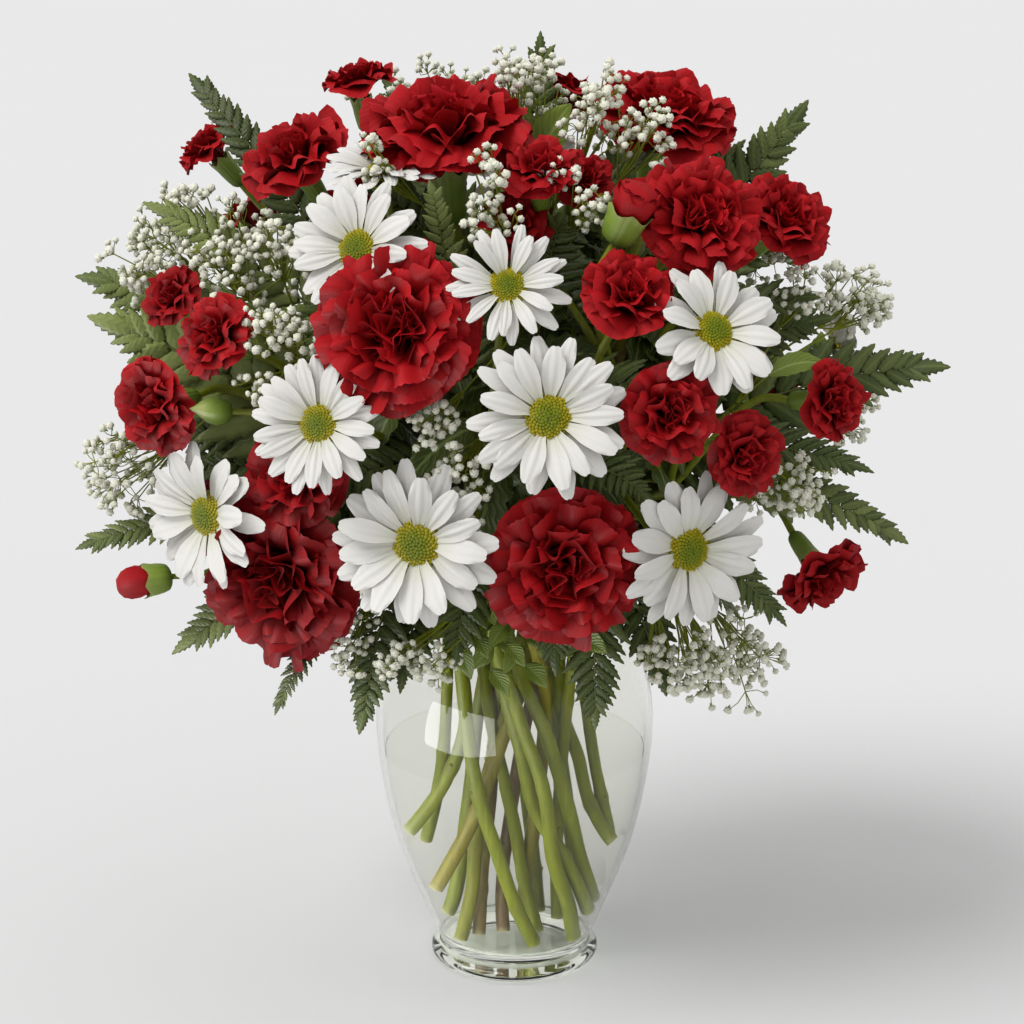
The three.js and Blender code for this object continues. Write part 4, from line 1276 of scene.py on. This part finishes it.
leaflets = graph.node("GeometryNodeInstanceOnPoints", {}, {
    "Points": points, "Instance": graph.one_of(given.beside("Leaflet")),
    "Rotation": graph.triple(rolling, leaning, turn),
    "Scale": graph.triple(size, size * given.beside("Breadth") * (1.0 + how_far * 0.45), size)})
leaflets = graph.marked(leaflets, "tint", graph.random(0.0, 1.0, seed + 5), "INSTANCE")
line_end = graph.triple(given.beside("Length"), 0.0, 0.0)
line = graph.node("GeometryNodeCurvePrimitiveLine", {}, {"End": line_end})
line = graph.node("GeometryNodeResampleCurve", {}, {"Curve": line, "Count": pairs + 2.0}, "Curve")
taper = 1.0 - graph.node("GeometryNodeSplineParameter", output="Factor") * 0.7
rib_tube = graph.marked(graph.tube(line, 5, taper * given.beside("Rib")), "rib", 1.0)
whole = graph.node("GeometryNodeJoinGeometry", {}, {"Geometry": [leaflets, rib_tube]})
graph.end(whole, given.beside("Finish"), smooth=True)
print("pinnate tree:", len(pinnate_tree.nodes), "nodes")

# %% Leaflets and flat fronds
TEETH = 5
# A share of the leaflet's length, as every size in fern_leaflet is
LEAFLET_THICKNESS = 0.025
FROND_BREADTHS = (1.12, 0.92)
LEAFLET_ANGLE, LEAFLET_SWEEP = 0.92, 0.3


def fern_leaflet():
    """A leaflet 1 mm long along +X: a lance on a broad base, toothed, and folded a little."""
    rows = 2 * TEETH + 3
    t = np.linspace(0, 1, rows)[:, None]
    s = np.array([-1, -0.5, 0, 0.5, 1])[None, :]
    widening = 0.55 + 0.45 * np.sin(math.pi / 2 * np.clip(t / 0.35, 0, 1))
    narrowing = 1 - np.clip((t - 0.35) / 0.65, 0, 1) ** 1.7
    envelope = widening * narrowing
    tooth = np.where(np.arange(rows) % 2, 1.0, 0.74)[:, None]
    half_width = 0.16 * envelope * np.where(np.abs(s) == 1, tooth, 0.42) + 0.006
    forward = 0.05 * (np.abs(s) == 1) * (tooth == 1) * envelope
    height = 0.05 * np.sin(math.pi * t) - 0.05 * t**2 - 0.03 * np.abs(s) * envelope
    grid = np.stack([t + forward, -half_width * np.sign(s), height], axis=-1)
    leaflet = Shape("along", "across")
    leaflet.add_leaf(grid, LEAFLET_THICKNESS, t, s)
    return leaflet.mesh("fern_leaflet_pattern", fern_finish)


leaflet_pattern = pattern("leaflet", fern_leaflet())
print("a leaflet has", len(leaflet_pattern.data.polygons), "faces")


def flat_frond(name, length, width, seed):
    """A frond along +X, in metres, its longest leaflets reaching half the width to each side."""
    size = 0.92 * width / 2 / math.sin(LEAFLET_ANGLE)
    breadth = FROND_BREADTHS[seed % 2]
    spacing = 0.21 * size * breadth + 1.6
    return grown(
        pinnate_tree, name, Leaflet=leaflet_pattern, Pairs=max(6, round(length / spacing)),
        Length=(length - 0.4 * size) * MM, Bare=0.03, Size=size, Smallest=0.34, Taper=0.62,
        Angle=LEAFLET_ANGLE, Sweep=LEAFLET_SWEEP, Rib=0.8 * MM, Lean=0.12, Breadth=breadth,
        Seed=seed, Finish=fern_finish)


def bent(mesh, path, looks, droop, tint):
    """Lays a flat frond along a path of points, with its upper face towards `looks`."""
    count = len(mesh.vertices)
    flat = np.empty(count * 3)
    mesh.vertices.foreach_get("co", flat)
    x, y, z = flat.reshape(-1, 3).T / MM
    along = distances(path)
    place = np.stack([np.interp(x, along, path[:, k]) for k in range(3)], axis=1)
    tangents = np.gradient(path, along, axis=0)
    tangent = np.stack([np.interp(x, along, tangents[:, k]) for k in range(3)], axis=1)
    tangent /= np.linalg.norm(tangent, axis=1, keepdims=True)
    side = np.cross(unit(np.asarray(looks, float)), tangent)
    side /= np.linalg.norm(side, axis=1, keepdims=True)
    over = np.cross(tangent, side)
    past = np.maximum(x - along[-1], 0)[:, None]
    sagged = z - droop * np.abs(y) ** 1.5 / 30
    placed = (place + tangent * past + side * y[:, None] + over * sagged[:, None]) * MM
    mesh.vertices.foreach_set("co", placed.ravel())
    shade = mesh.attributes.get("tint")
    numbers = np.empty(count, np.float32)
    shade.data.foreach_get("value", numbers)
    shade.data.foreach_set("value", np.clip(numbers * 0.45 + tint, 0, 1.3).astype(np.float32))
    mesh.update()
    return mesh


def frond_path(base, tip, bow):
    """From base to tip, bowed upwards in the middle."""
    t = np.linspace(0, 1, 14)[:, None]
    return mixed(base, tip, t) + UP * bow * 4 * t * (1 - t)


# %% Where the fronds are
# name: stops of its bare rib, tip, width, where its upper face looks, bow, and how pale it is
FRONDS = {
    "fern_frond_left": (((-34, 16, 178), (-42, 16, 212), (-80, 4, 276)), (-194, -12, 330), 66,
                        (-0.1, -0.75, 0.7), 6, 0.55),
    "fern_frond_low_left": (((-36, -12, 190), (-44, -18, 212), (-72, -36, 206)), (-150, -62, 170), 50,
                            (-0.2, -0.8, 0.6), 6, 0.6),
    "fern_frond_right": (((34, 6, 178), (40, 2, 212), (82, -16, 262)), (192, -20, 290), 62,
                         (0.1, -0.8, 0.6), 6, 0.25),
    "fern_frond_top": (((-2, 8, 200), (0, 8, 250), (4, 6, 320)), (12, 10, 434), 50,
                       (0, -1, 0.15), 2, 0.25),
    "fern_frond_back": (((10, 26, 178), (10, 36, 214), (8, 70, 250)), (-6, 156, 286), 62,
                        (0, 0.4, 0.9), 6, 0.2),
    "fern_frond_hanging": (((24, -24, 184), (29, -40, 209), (34, -62, 205)), (35, -98, 146), 42,
                           (0, -0.9, 0.5), 6, 0.2),
}
# Fronds that fill the bouquet: base, tip, width, where the upper face looks, bow, and how pale
FILLERS = [
    ((-60, 0, 300), (-141, -18, 418), 44, (-0.3, -0.9, 0.2), 6, 0.1),
    ((-60, -30, 290), (-158, -45, 366), 50, (-0.2, -0.8, 0.6), 8, 0.75),
    ((-90, -32, 262), (-183, -46, 316), 74, (-0.2, -0.8, 0.5), 6, 0.85),
    ((-70, -30, 220), (-192, -70, 219), 44, (-0.2, -0.7, 0.7), 10, 0.35),
    ((-50, -50, 215), (-66, -108, 148), 40, (-0.2, -0.9, 0.4), 8, 0.15),
    ((-62, -52, 212), (-104, -98, 152), 26, (-0.4, -0.8, 0.4), 8, 0.3),
    ((50, 0, 290), (128, -8, 404), 54, (0.2, -0.95, 0.1), 4, 0.3),
    ((30, -10, 300), (101, -4, 388), 50, (0.2, -0.95, 0.1), 4, 0.35),
    ((-20, -60, 290), (-34, -112, 384), 32, (0, -1, 0.3), 2, 0.75),
    ((60, -20, 250), (156, -56, 250), 52, (0.2, -0.7, 0.7), 8, 0.05),
    ((60, -30, 240), (174, -58, 218), 48, (0.2, -0.7, 0.7), 12, 0.4),
    ((55, -40, 225), (118, -84, 188), 42, (0.3, -0.8, 0.5), 8, 0.2),
    ((20, -70, 260), (56, -128, 256), 34, (0, -0.8, 0.5), 4, 0.1),
    ((-10, -50, 290), (-90, -104, 330), 56, (-0.1, -0.8, 0.6), 8, 0.0),
    ((10, -50, 270), (60, -112, 300), 56, (0.1, -0.8, 0.6), 8, 0.0),
    ((-20, -50, 250), (-88, -108, 250), 56, (-0.1, -0.8, 0.5), 8, 0.0),
    ((0, -60, 250), (-8, -118, 262), 48, (0, -0.9, 0.4), 6, 0.0),
    ((10, -40, 310), (20, -96, 370), 54, (0, -0.9, 0.4), 6, 0.05),
    ((-10, -30, 310), (-66, -60, 384), 54, (-0.2, -0.8, 0.6), 6, 0.0),
    ((0, 0, 320), (60, -60, 392), 56, (0.2, -0.6, 0.8), 6, 0.1),
    ((50, -30, 290), (130, -70, 330), 56, (0.2, -0.7, 0.7), 8, 0.0),
    ((-20, 30, 310), (-60, 60, 410), 56, (-0.2, 0.6, 0.8), 6, 0.15),
    ((30, 30, 310), (70, 40, 408), 56, (0.3, 0.3, 0.9), 6, 0.1),
    ((-50, 20, 280), (-130, 44, 346), 58, (-0.5, 0.3, 0.8), 8, 0.3),
    ((50, 30, 280), (140, 60, 352), 58, (0.5, -0.1, 0.8), 8, 0.2),
    ((-50, 30, 240), (-158, 90, 262), 58, (-0.5, 0.5, 0.7), 10, 0.3),
    ((50, 30, 240), (164, 84, 262), 58, (0.5, 0.5, 0.7), 10, 0.2),
    ((-30, 50, 230), (-84, 138, 216), 56, (-0.3, 0.8, 0.5), 10, 0.2),
    ((30, 50, 230), (70, 142, 206), 56, (0.3, 0.8, 0.5), 10, 0.3),
    ((-10, 60, 260), (-44, 140, 320), 56, (-0.1, 0.8, 0.6), 8, 0.05),
    ((20, 60, 260), (50, 132, 330), 56, (0.1, 0.8, 0.6), 8, 0.05),
    ((-52, 10, 216), (-132, 30, 166), 52, (-0.6, 0.1, 0.6), 10, 0.35),
    ((54, 10, 216), (118, 30, 178), 52, (0.6, 0.1, 0.6), 10, 0.25),
    ((-34, -36, 212), (-50, -92, 160), 46, (-0.2, -0.9, 0.5), 8, 0.1),
    ((40, -34, 212), (66, -88, 158), 46, (0.2, -0.9, 0.5), 8, 0.1),
    ((10, -50, 216), (18, -98, 172), 44, (0, -0.9, 0.5), 6, 0.0),
    ((-16, -50, 216), (-26, -98, 176), 44, (0, -0.9, 0.5), 6, 0.0),
    ((-36, 34, 212), (-66, 92, 162), 50, (-0.3, 0.8, 0.5), 8, 0.15),
    ((36, 34, 212), (62, 90, 160), 50, (0.3, 0.8, 0.5), 8, 0.15),
    ((0, 46, 214), (-4, 104, 166), 50, (0, 0.9, 0.5), 8, 0.1),
    ((-44, -6, 214), (-100, -22, 170), 50, (-0.6, -0.3, 0.6), 8, 0.1),
    ((48, -8, 214), (104, -30, 172), 50, (0.6, -0.3, 0.6), 8, 0.1),
    ((-60, -34, 236), (-150, -40, 248), 58, (-0.2, -0.8, 0.5), 6, 0.0),
    ((-64, -26, 248), (-160, -34, 262), 58, (-0.2, -0.8, 0.5), 6, 0.0),
    ((-70, -20, 262), (-152, -30, 288), 54, (-0.2, -0.8, 0.5), 6, 0.1),
    ((60, -20, 276), (138, -44, 316), 52, (0.2, -0.8, 0.5), 6, 0.05),
]
print("fronds:", len(FRONDS) + len(FILLERS))

# %% The fronds
FROND_STEM = 1.5
FROND_DROOP = 0.12
# Where a filling frond's rib comes out of the neck: how far from the axis, and how high
NECK_REACH, NECK_HEIGHT = 22, 192


def frond(name, stops, tip, width, looks, bow, pale, seed, *nodes):
    """A frond and its bare rib, as two pieces."""
    base = stops[-1]
    length = float(np.linalg.norm(np.subtract(tip, base)))
    flat = flat_frond(name, length, width, seed)
    piece(name, bent(flat, frond_path(base, tip, bow), looks, FROND_DROOP, pale), "fern", *nodes)
    strokes = Strokes(*STEM_PAINTS)
    draw_stem(strokes, [*stops, mixed(base, tip, 0.05)], FROND_STEM, 0.25, thinner=0.7, cut_end=False)
    piece(name + "_rib", tubes(name + "_rib", strokes, THIN_STEM_SIDES), "fern", *nodes)


for seed, (name, (stops, tip, width, looks, bow, pale)) in enumerate(FRONDS.items()):
    frond(name + "_leaf", stops, tip, width, looks, bow, pale, seed, name)
for seed, (base, tip, width, looks, bow, pale) in enumerate(FILLERS):
    neck = unit(np.array([base[0], base[1], 0.001])) * NECK_REACH + UP * NECK_HEIGHT
    stops = [neck, mixed(neck, base, 0.45) + UP * 6, base]
    frond(f"fern_filler_{seed + 1}", stops, tip, width, looks, bow, pale, seed + 20)

# %% [markdown]
# ## Leaves at the neck
# A leafy sprig hangs over the lip of the urn, brighter than the fern: small pointed leaves, folded
# along the middle, with veins. Two leaves like them stand among the flowers. Each is a closed skin
# bent along a path, wide in its middle, with a wave along its edge. A leaf's paint says how much
# shade is painted on it, up to nearly black, so the same finish serves the leaves deeper in the bouquet.

# %% Leaf finish
leaf_finish, graph = new_finish("fresh_leaf")
along, across, tint = graph.painted("along", "across", "tint")
mottling = graph.noise(graph.place(), 90.0, 3.0)
side = across.of("ABSOLUTE")
vein_wave = (along * 52.0 - side * 17.0).of("SINE")
body = graph.blend(mottling, (0.12, 0.175, 0.016), (0.235, 0.30, 0.042))
# Painted shade: tint darkens a leaf towards nearly black, most of all for the leaves deep inside.
body = graph.blend(tint * 0.9, body, (0.022, 0.034, 0.006))
body = graph.blend(graph.stretched(side, 0.16, 0.0) * 0.6, body, (0.30, 0.40, 0.13))
body = graph.blend(graph.stretched(vein_wave, 0.75, 1.0) * 0.25, body, (0.25, 0.35, 0.10))
surface(graph, Base_Color=body, Roughness=graph.stretched(mottling, 0.2, 0.8, 0.36, 0.5),
        Specular_IOR_Level=0.25, Normal=graph.bump(vein_wave * 0.3 + mottling * 0.4, 0.4, 0.6))

# %% Leaves
LEAF_PAINTS = ("along", "across", "tint")
LEAF_FOLD = 0.25


def broad_leaf(shape, path, width, looks, tint, teeth):
    """A pointed leaf along a path of points. teeth is how deep its edge is cut, as a share."""
    path = np.asarray(path, float)
    rows = len(path)
    t = np.linspace(0, 1, rows)[:, None]
    s = np.linspace(-1, 1, 7)[None, :]
    half_width = width / 2 * (np.sin(math.pi * np.clip(t, 0.02, 0.985) ** 0.8) ** 0.85)
    half_width = half_width * (1 + teeth * np.where(np.arange(rows) % 2, 1, -1)[:, None])
    tangent = np.gradient(path, axis=0)
    tangent /= np.linalg.norm(tangent, axis=1, keepdims=True)
    side = np.cross(unit(np.asarray(looks, float)), tangent)
    side /= np.linalg.norm(side, axis=1, keepdims=True)
    over = np.cross(tangent, side)
    lift = LEAF_FOLD * half_width * np.abs(s) + 0.05 * width * np.sin(9 * t + 3 * s) * s**2
    grid = path[:, None] - side[:, None] * (half_width * s)[..., None] + over[:, None] * lift[..., None]
    shape.add_leaf(grid, LEAF_THICKNESS, t, s, tint=tint)


SPRIG_STEM = [(-2, -37.8, 190), (-2, -46, 212), (-4, -62, 204), (-6, -66, 184)]
SPRIG_STEM_GIRTH, SPRIG_TWIG_GIRTH, SPRIG_TINT = 1.5, 0.7, 0.1
# Where each twig of the sprig starts and ends
SPRIG_TWIGS = [
    ((-4, -58, 207), (-26, -76, 172)), ((-4, -60, 206), (-11, -80, 162)),
    ((-4, -60, 206), (5, -79, 164)), ((-4, -58, 207), (22, -76, 174)),
    ((-4, -56, 208), (34, -70, 186)), ((-4, -56, 208), (-32, -70, 190)),
    ((-4, -60, 207), (-18, -84, 180)), ((-4, -60, 207), (14, -84, 184)),
    ((-4, -60, 207), (-4, -84, 176)), ((0, -58, 207), (30, -80, 178)),
    ((-8, -58, 207), (-30, -78, 176)),
]
# The two leaves among the flowers: base, tip, width
LOOSE_LEAVES = [((8, -36, 378), (24, -46, 409), 17), ((106, -98, 302), (131, -92, 305), 10)]
SMALL_TEETH = 0.05
leaves = Shape(*LEAF_PAINTS)
strokes = Strokes(*STEM_PAINTS)
rng = np.random.default_rng(5)
draw_stem(strokes, SPRIG_STEM, SPRIG_STEM_GIRTH, SPRIG_TINT, thinner=0.6, cut_end=False)
for base, tip in SPRIG_TWIGS:
    twig = frond_path(base, tip, 5)
    draw_stem(strokes, twig[::4], SPRIG_TWIG_GIRTH, SPRIG_TINT, thinner=0.5, cut_end=False)
    forward = unit(twig[-1] - twig[0])
    for number, node in enumerate(twig[2::2]):
        sideways = np.array([(-1, 1)[number % 2] * 0.8, rng.uniform(-0.5, 0.1), 0]) + forward
        leaf_tip = node + unit(sideways) * rng.uniform(12, 16)
        looks = (rng.uniform(-0.3, 0.3), -0.9, 0.5)
        width = rng.uniform(7, 9.5)
        tint = rng.uniform(0, 0.25)
        broad_leaf(leaves, frond_path(node, leaf_tip, 1), width, looks, tint, SMALL_TEETH)
for base, tip, width in LOOSE_LEAVES:
    broad_leaf(leaves, frond_path(base, tip, 3), width, (0, -0.8, 0.6), 0.3, SMALL_TEETH)
mesh = leaves.mesh("neck_leaves", leaf_finish, PETAL_CREASE)
piece("neck_leaves", mesh, "leaf", "neck_leaf_sprig")
mesh = tubes("neck_sprig_stem", strokes, THIN_STEM_SIDES)
piece("neck_sprig_stem", mesh, "leaf", "neck_leaf_sprig")

# %% [markdown]
# ## Dark leaves inside
# Behind the flowers a bouquet is dark: the lower leaves of the daisies and the fern's inner leaflets
# fill it, and little light reaches them. Without them the far side would show through. The leaves
# are spread over a dome inside the flowers by the golden angle, and each hangs outwards and down.
# Their finish paints them nearly black, as painted shade.

# %% Dark leaves inside
DOME_MIDDLE = np.array([-4.0, -8.0, 262.0])
DOME_SIZE = np.array([106.0, 88.0, 104.0])
LEAVES_INSIDE = 190
DEEP_TEETH = 0.14
inner = Shape(*LEAF_PAINTS)
rng = np.random.default_rng(31)
for n in range(LEAVES_INSIDE):
    level = 0.98 - 1.5 * (n + 0.5) / LEAVES_INSIDE
    around = n * GOLDEN_ANGLE
    flat = math.sqrt(1 - level**2)
    away = np.array([flat * math.cos(around), flat * math.sin(around), level])
    base = DOME_MIDDLE + away * DOME_SIZE * rng.uniform(0.55, 0.8)
    along_dome = unit(np.cross(away, rng.normal(0, 1, 3)))
    tip = base + along_dome * rng.uniform(30, 44) + away * rng.uniform(4, 16) - UP * 5
    # Painted shade: these leaves are painted nearly black, for the little light that reaches them.
    shade = rng.uniform(0.7, 1.0)
    broad_leaf(inner, frond_path(base, tip, 4), rng.uniform(16, 24), away, shade, DEEP_TEETH)
piece("leaves_inside", inner.mesh("leaves_inside", leaf_finish, PETAL_CREASE), "leaf")

# %% [markdown]
# ## Baby's breath
# Baby's breath is a cloud: hair-thin stems fork again and again, and each ends in a white flower
# about four millimetres wide, double, like a tiny rosette. The forks are drawn as lines with a
# seeded random generator, which leaves out a tip that comes too near another, and the tube tree
# makes them round. A second tree sets one small flower on every tip, turned outwards, in the size
# that the tip carries.

# %% Baby's breath finishes
breath_finish, graph = new_finish("baby_breath_flower")
along, tint = graph.painted("along", "tint")
# Painted shade: the low points between the petals are a dull greyish cream. The cup is green.
body = graph.ramp(along, (0.0, (0.16, 0.22, 0.04)), (0.3, (0.50, 0.50, 0.36)),
                  (0.6, (0.71, 0.71, 0.60)), (1.0, (0.75, 0.745, 0.665)))
body = graph.blend(tint * 0.3, body, (0.64, 0.63, 0.48))
surface(graph, Base_Color=body, Roughness=0.65, Specular_IOR_Level=0.15,
        Normal=graph.bump(graph.noise(graph.place(), 1500.0), 0.12, 0.4))

# %% Baby's breath tree
flower_tree, graph, given = growing_tree(
    "flowers_on_tips", Geometry="Geometry", Flower="Object", Seed="Int", Finish="Material")
points = graph.node("GeometryNodeMeshToPoints", {}, {"Mesh": given.beside("Geometry")}, "Points")
aim = graph.attribute("aim", "FLOAT_VECTOR")
turned = graph.node("FunctionNodeAlignRotationToVector", {"axis": "Z"}, {"Vector": aim}, "Rotation")
size = graph.attribute("size")
flowers = graph.node("GeometryNodeInstanceOnPoints", {}, {
    "Points": points, "Instance": graph.one_of(given.beside("Flower")), "Rotation": turned,
    "Scale": graph.triple(size, size, size)})
flowers = graph.marked(flowers, "tint", graph.random(0.0, 1.0, given.beside("Seed")), "INSTANCE")
graph.end(flowers, given.beside("Finish"))
print("flower tree:", len(flower_tree.nodes), "nodes")

# %% One tiny flower
FLOWER_SEGMENTS = 8


def tiny_flower():
    """A double flower 1 mm wide that looks along +Z: a ball of blunt petals on a small green cup."""
    turn = np.linspace(0, 2 * math.pi, FLOWER_SEGMENTS, endpoint=False)
    rings, along = [], []
    for level, polar in enumerate((2.45, 1.8, 1.2, 0.6)):
        petal = np.where((np.arange(FLOWER_SEGMENTS) + level) % 2, 1.0, 0.76)
        radius = 0.5 * petal * math.sin(polar)
        height = 0.42 * petal * math.cos(polar)
        rings.append(np.stack([radius * np.cos(turn), radius * np.sin(turn), height], axis=-1))
        # The low points between the petals get a low number, which the finish paints as shade.
        along.append((petal - 0.76) * 2.9 + 0.3)
    flower = Shape("along")
    points, faces = barrel(rings)
    flower.add(points, faces, along=np.concatenate([*along, [0.3, 0.6]]))
    flower.add(*barrel(turned_rings([(0.05, -0.62), (0.18, -0.25)], 5)), along=0.0)
    return flower.mesh("tiny_flower_pattern", breath_finish)


flower_pattern = pattern("tiny_flower", tiny_flower())
print("a tiny flower has", len(flower_pattern.data.polygons), "faces")

# %% Baby's breath clouds
# Each spray: the route of its stem, and the middle and radius of each of its clouds
BREATH_SPRAYS = {
    "babys_breath_left": (((-22, -6, 160), (-26, -4, 190), (-44, -14, 236), (-92, -28, 292)), (
        (-156, -22, 346, 19), (-124, -58, 338, 17), (-100, -104, 320, 15), (-168, -56, 250, 18))),
    "babys_breath_top": (((0, 14, 190), (4, -8, 250), (6, -30, 320)), (
        (12, -14, 410, 17), (36, -60, 404, 17), (-8, -104, 372, 12), (28, -98, 372, 10))),
    "babys_breath_right": (((36, -2, 180), (42, -10, 214), (74, -26, 250), (98, -34, 276)), (
        (148, -28, 322, 18), (112, -80, 246, 13), (98, -60, 168, 20))),
    "babys_breath_back": (((4, 22, 190), (2, 40, 250), (-4, 58, 310)), (
        (-28, 84, 396, 16), (66, 62, 380, 15), (-104, 84, 322, 15), (-6, 136, 302, 14))),
}
# More clouds among the flowers, each on a spray: its middle and its radius
MORE_CLOUDS = {
    "babys_breath_left": (
        (-120, -36, 350, 15), (-158, -42, 334, 12), (-100, -84, 352, 11), (-140, -30, 366, 10),
        (-176, -58, 262, 10), (-71, -96, 186, 12), (-104, -112, 296, 10), (-59, -112, 212, 8)),
    "babys_breath_top": (
        (-20, -128, 268, 12), (-32, -134, 288, 10), (-57, -98, 391, 8), (58, -70, 400, 13),
        (0, -40, 420, 10), (-22, -126, 244, 10), (19, -92, 384, 9), (-12, -100, 392, 6)),
    "babys_breath_right": (
        (157, -30, 321, 9), (121, -60, 328, 11), (120, -84, 250, 11), (74, -92, 178, 13),
        (-34, -98, 174, 12), (63, -92, 176, 11), (84, -80, 170, 13), (-50, -100, 182, 10)),
    "babys_breath_back": (
        (120, 60, 330, 14), (40, 130, 286, 13), (-100, 104, 220, 14), (100, 104, 214, 14),
        (-60, 60, 400, 12), (-30, 132, 210, 12), (-150, 60, 300, 13), (156, 50, 250, 13)),
}
# How wide a flower is, and how near another one may come, as a share of that
FLOWER_WIDTH = 4.3
APART = 0.78
TWIG_SIDES = 5
TWIG_TINT = 0.2
# The clouds face away from this place, in mm, inside the bouquet
BOUQUET_HEART = np.array([0, 0, 250.0])


def draw_cloud(strokes, tips, start, cloud, rng):
    """Twigs from a spray's stem into a cloud, forking twice, and a tip for each flower."""
    *middle, radius = cloud
    middle = np.array(middle, float)
    start = np.array(start, float)
    heart = mixed(start, middle, 0.72)
    bend = mixed(start, heart, 0.5) + UP * 4 + rng.normal(0, 2, 3)
    path = smooth_path([start, bend, heart], 6)
    strokes.add(path, girth=np.linspace(0.8, 0.45, len(path)), tint=TWIG_TINT)
    outward = unit(middle - BOUQUET_HEART)
    forks = [middle + outward * radius * rng.uniform(-0.3, 0.4) + rng.normal(0, 0.36, 3) * radius
             for _ in range(max(7, round(radius / 1.15)))]
    taken = []
    for fork in forks:
        path = smooth_path([heart, mixed(heart, fork, 0.55) + rng.normal(0, 1.2, 3), fork], 6)
        strokes.add(path, girth=np.linspace(0.42, 0.3, len(path)), tint=TWIG_TINT)
        for _ in range(rng.integers(6, 10)):
            spread = unit(outward * 0.45 + unit(fork - middle) * 0.5 + rng.normal(0, 0.75, 3))
            tip = fork + spread * radius * rng.uniform(0.3, 0.6)
            width = FLOWER_WIDTH * rng.uniform(0.68, 1.12)
            if any(np.linalg.norm(tip - other) < APART * FLOWER_WIDTH for other in taken):
                continue
            taken.append(tip)
            twig = np.array([fork, mixed(fork, tip, 0.5) + rng.normal(0, 0.7, 3), tip])
            strokes.add(twig, girth=np.array([0.24, 0.2, 0.18]), tint=TWIG_TINT)
            tips.append((tip, unit(spread + outward * 0.4), width))


rng = np.random.default_rng(23)
for seed, (name, (stem, clouds)) in enumerate(BREATH_SPRAYS.items()):
    strokes = Strokes(*STEM_PAINTS)
    tips = []
    path = smooth_path(stem, 4)
    strokes.add(path, girth=np.linspace(1.5, 0.9, len(path)), tint=TWIG_TINT)
    upper_half = path[len(path) // 2:]
    for cloud in clouds + MORE_CLOUDS[name]:
        nearest = upper_half[np.argmin(np.linalg.norm(upper_half - cloud[:3], axis=1))]
        draw_cloud(strokes, tips, nearest, cloud, rng)
    piece(name + "_twigs", tubes(name + "_twigs", strokes, TWIG_SIDES), "breath", name)
    places, aims, sizes = (np.array(column) for column in zip(*tips))
    start = bpy.data.meshes.new(name + "_tips")
    start.from_pydata((places * MM).tolist(), [], [])
    start.attributes.new("aim", "FLOAT_VECTOR", "POINT").data.foreach_set("vector", aims.ravel())
    start.attributes.new("size", "FLOAT", "POINT").data.foreach_set("value", sizes)
    flowers = grown(flower_tree, name + "_flowers", start, Flower=flower_pattern, Seed=seed,
                    Finish=breath_finish)
    piece(name + "_flowers", flowers, "breath", name)
    print(name, len(tips), "flowers")
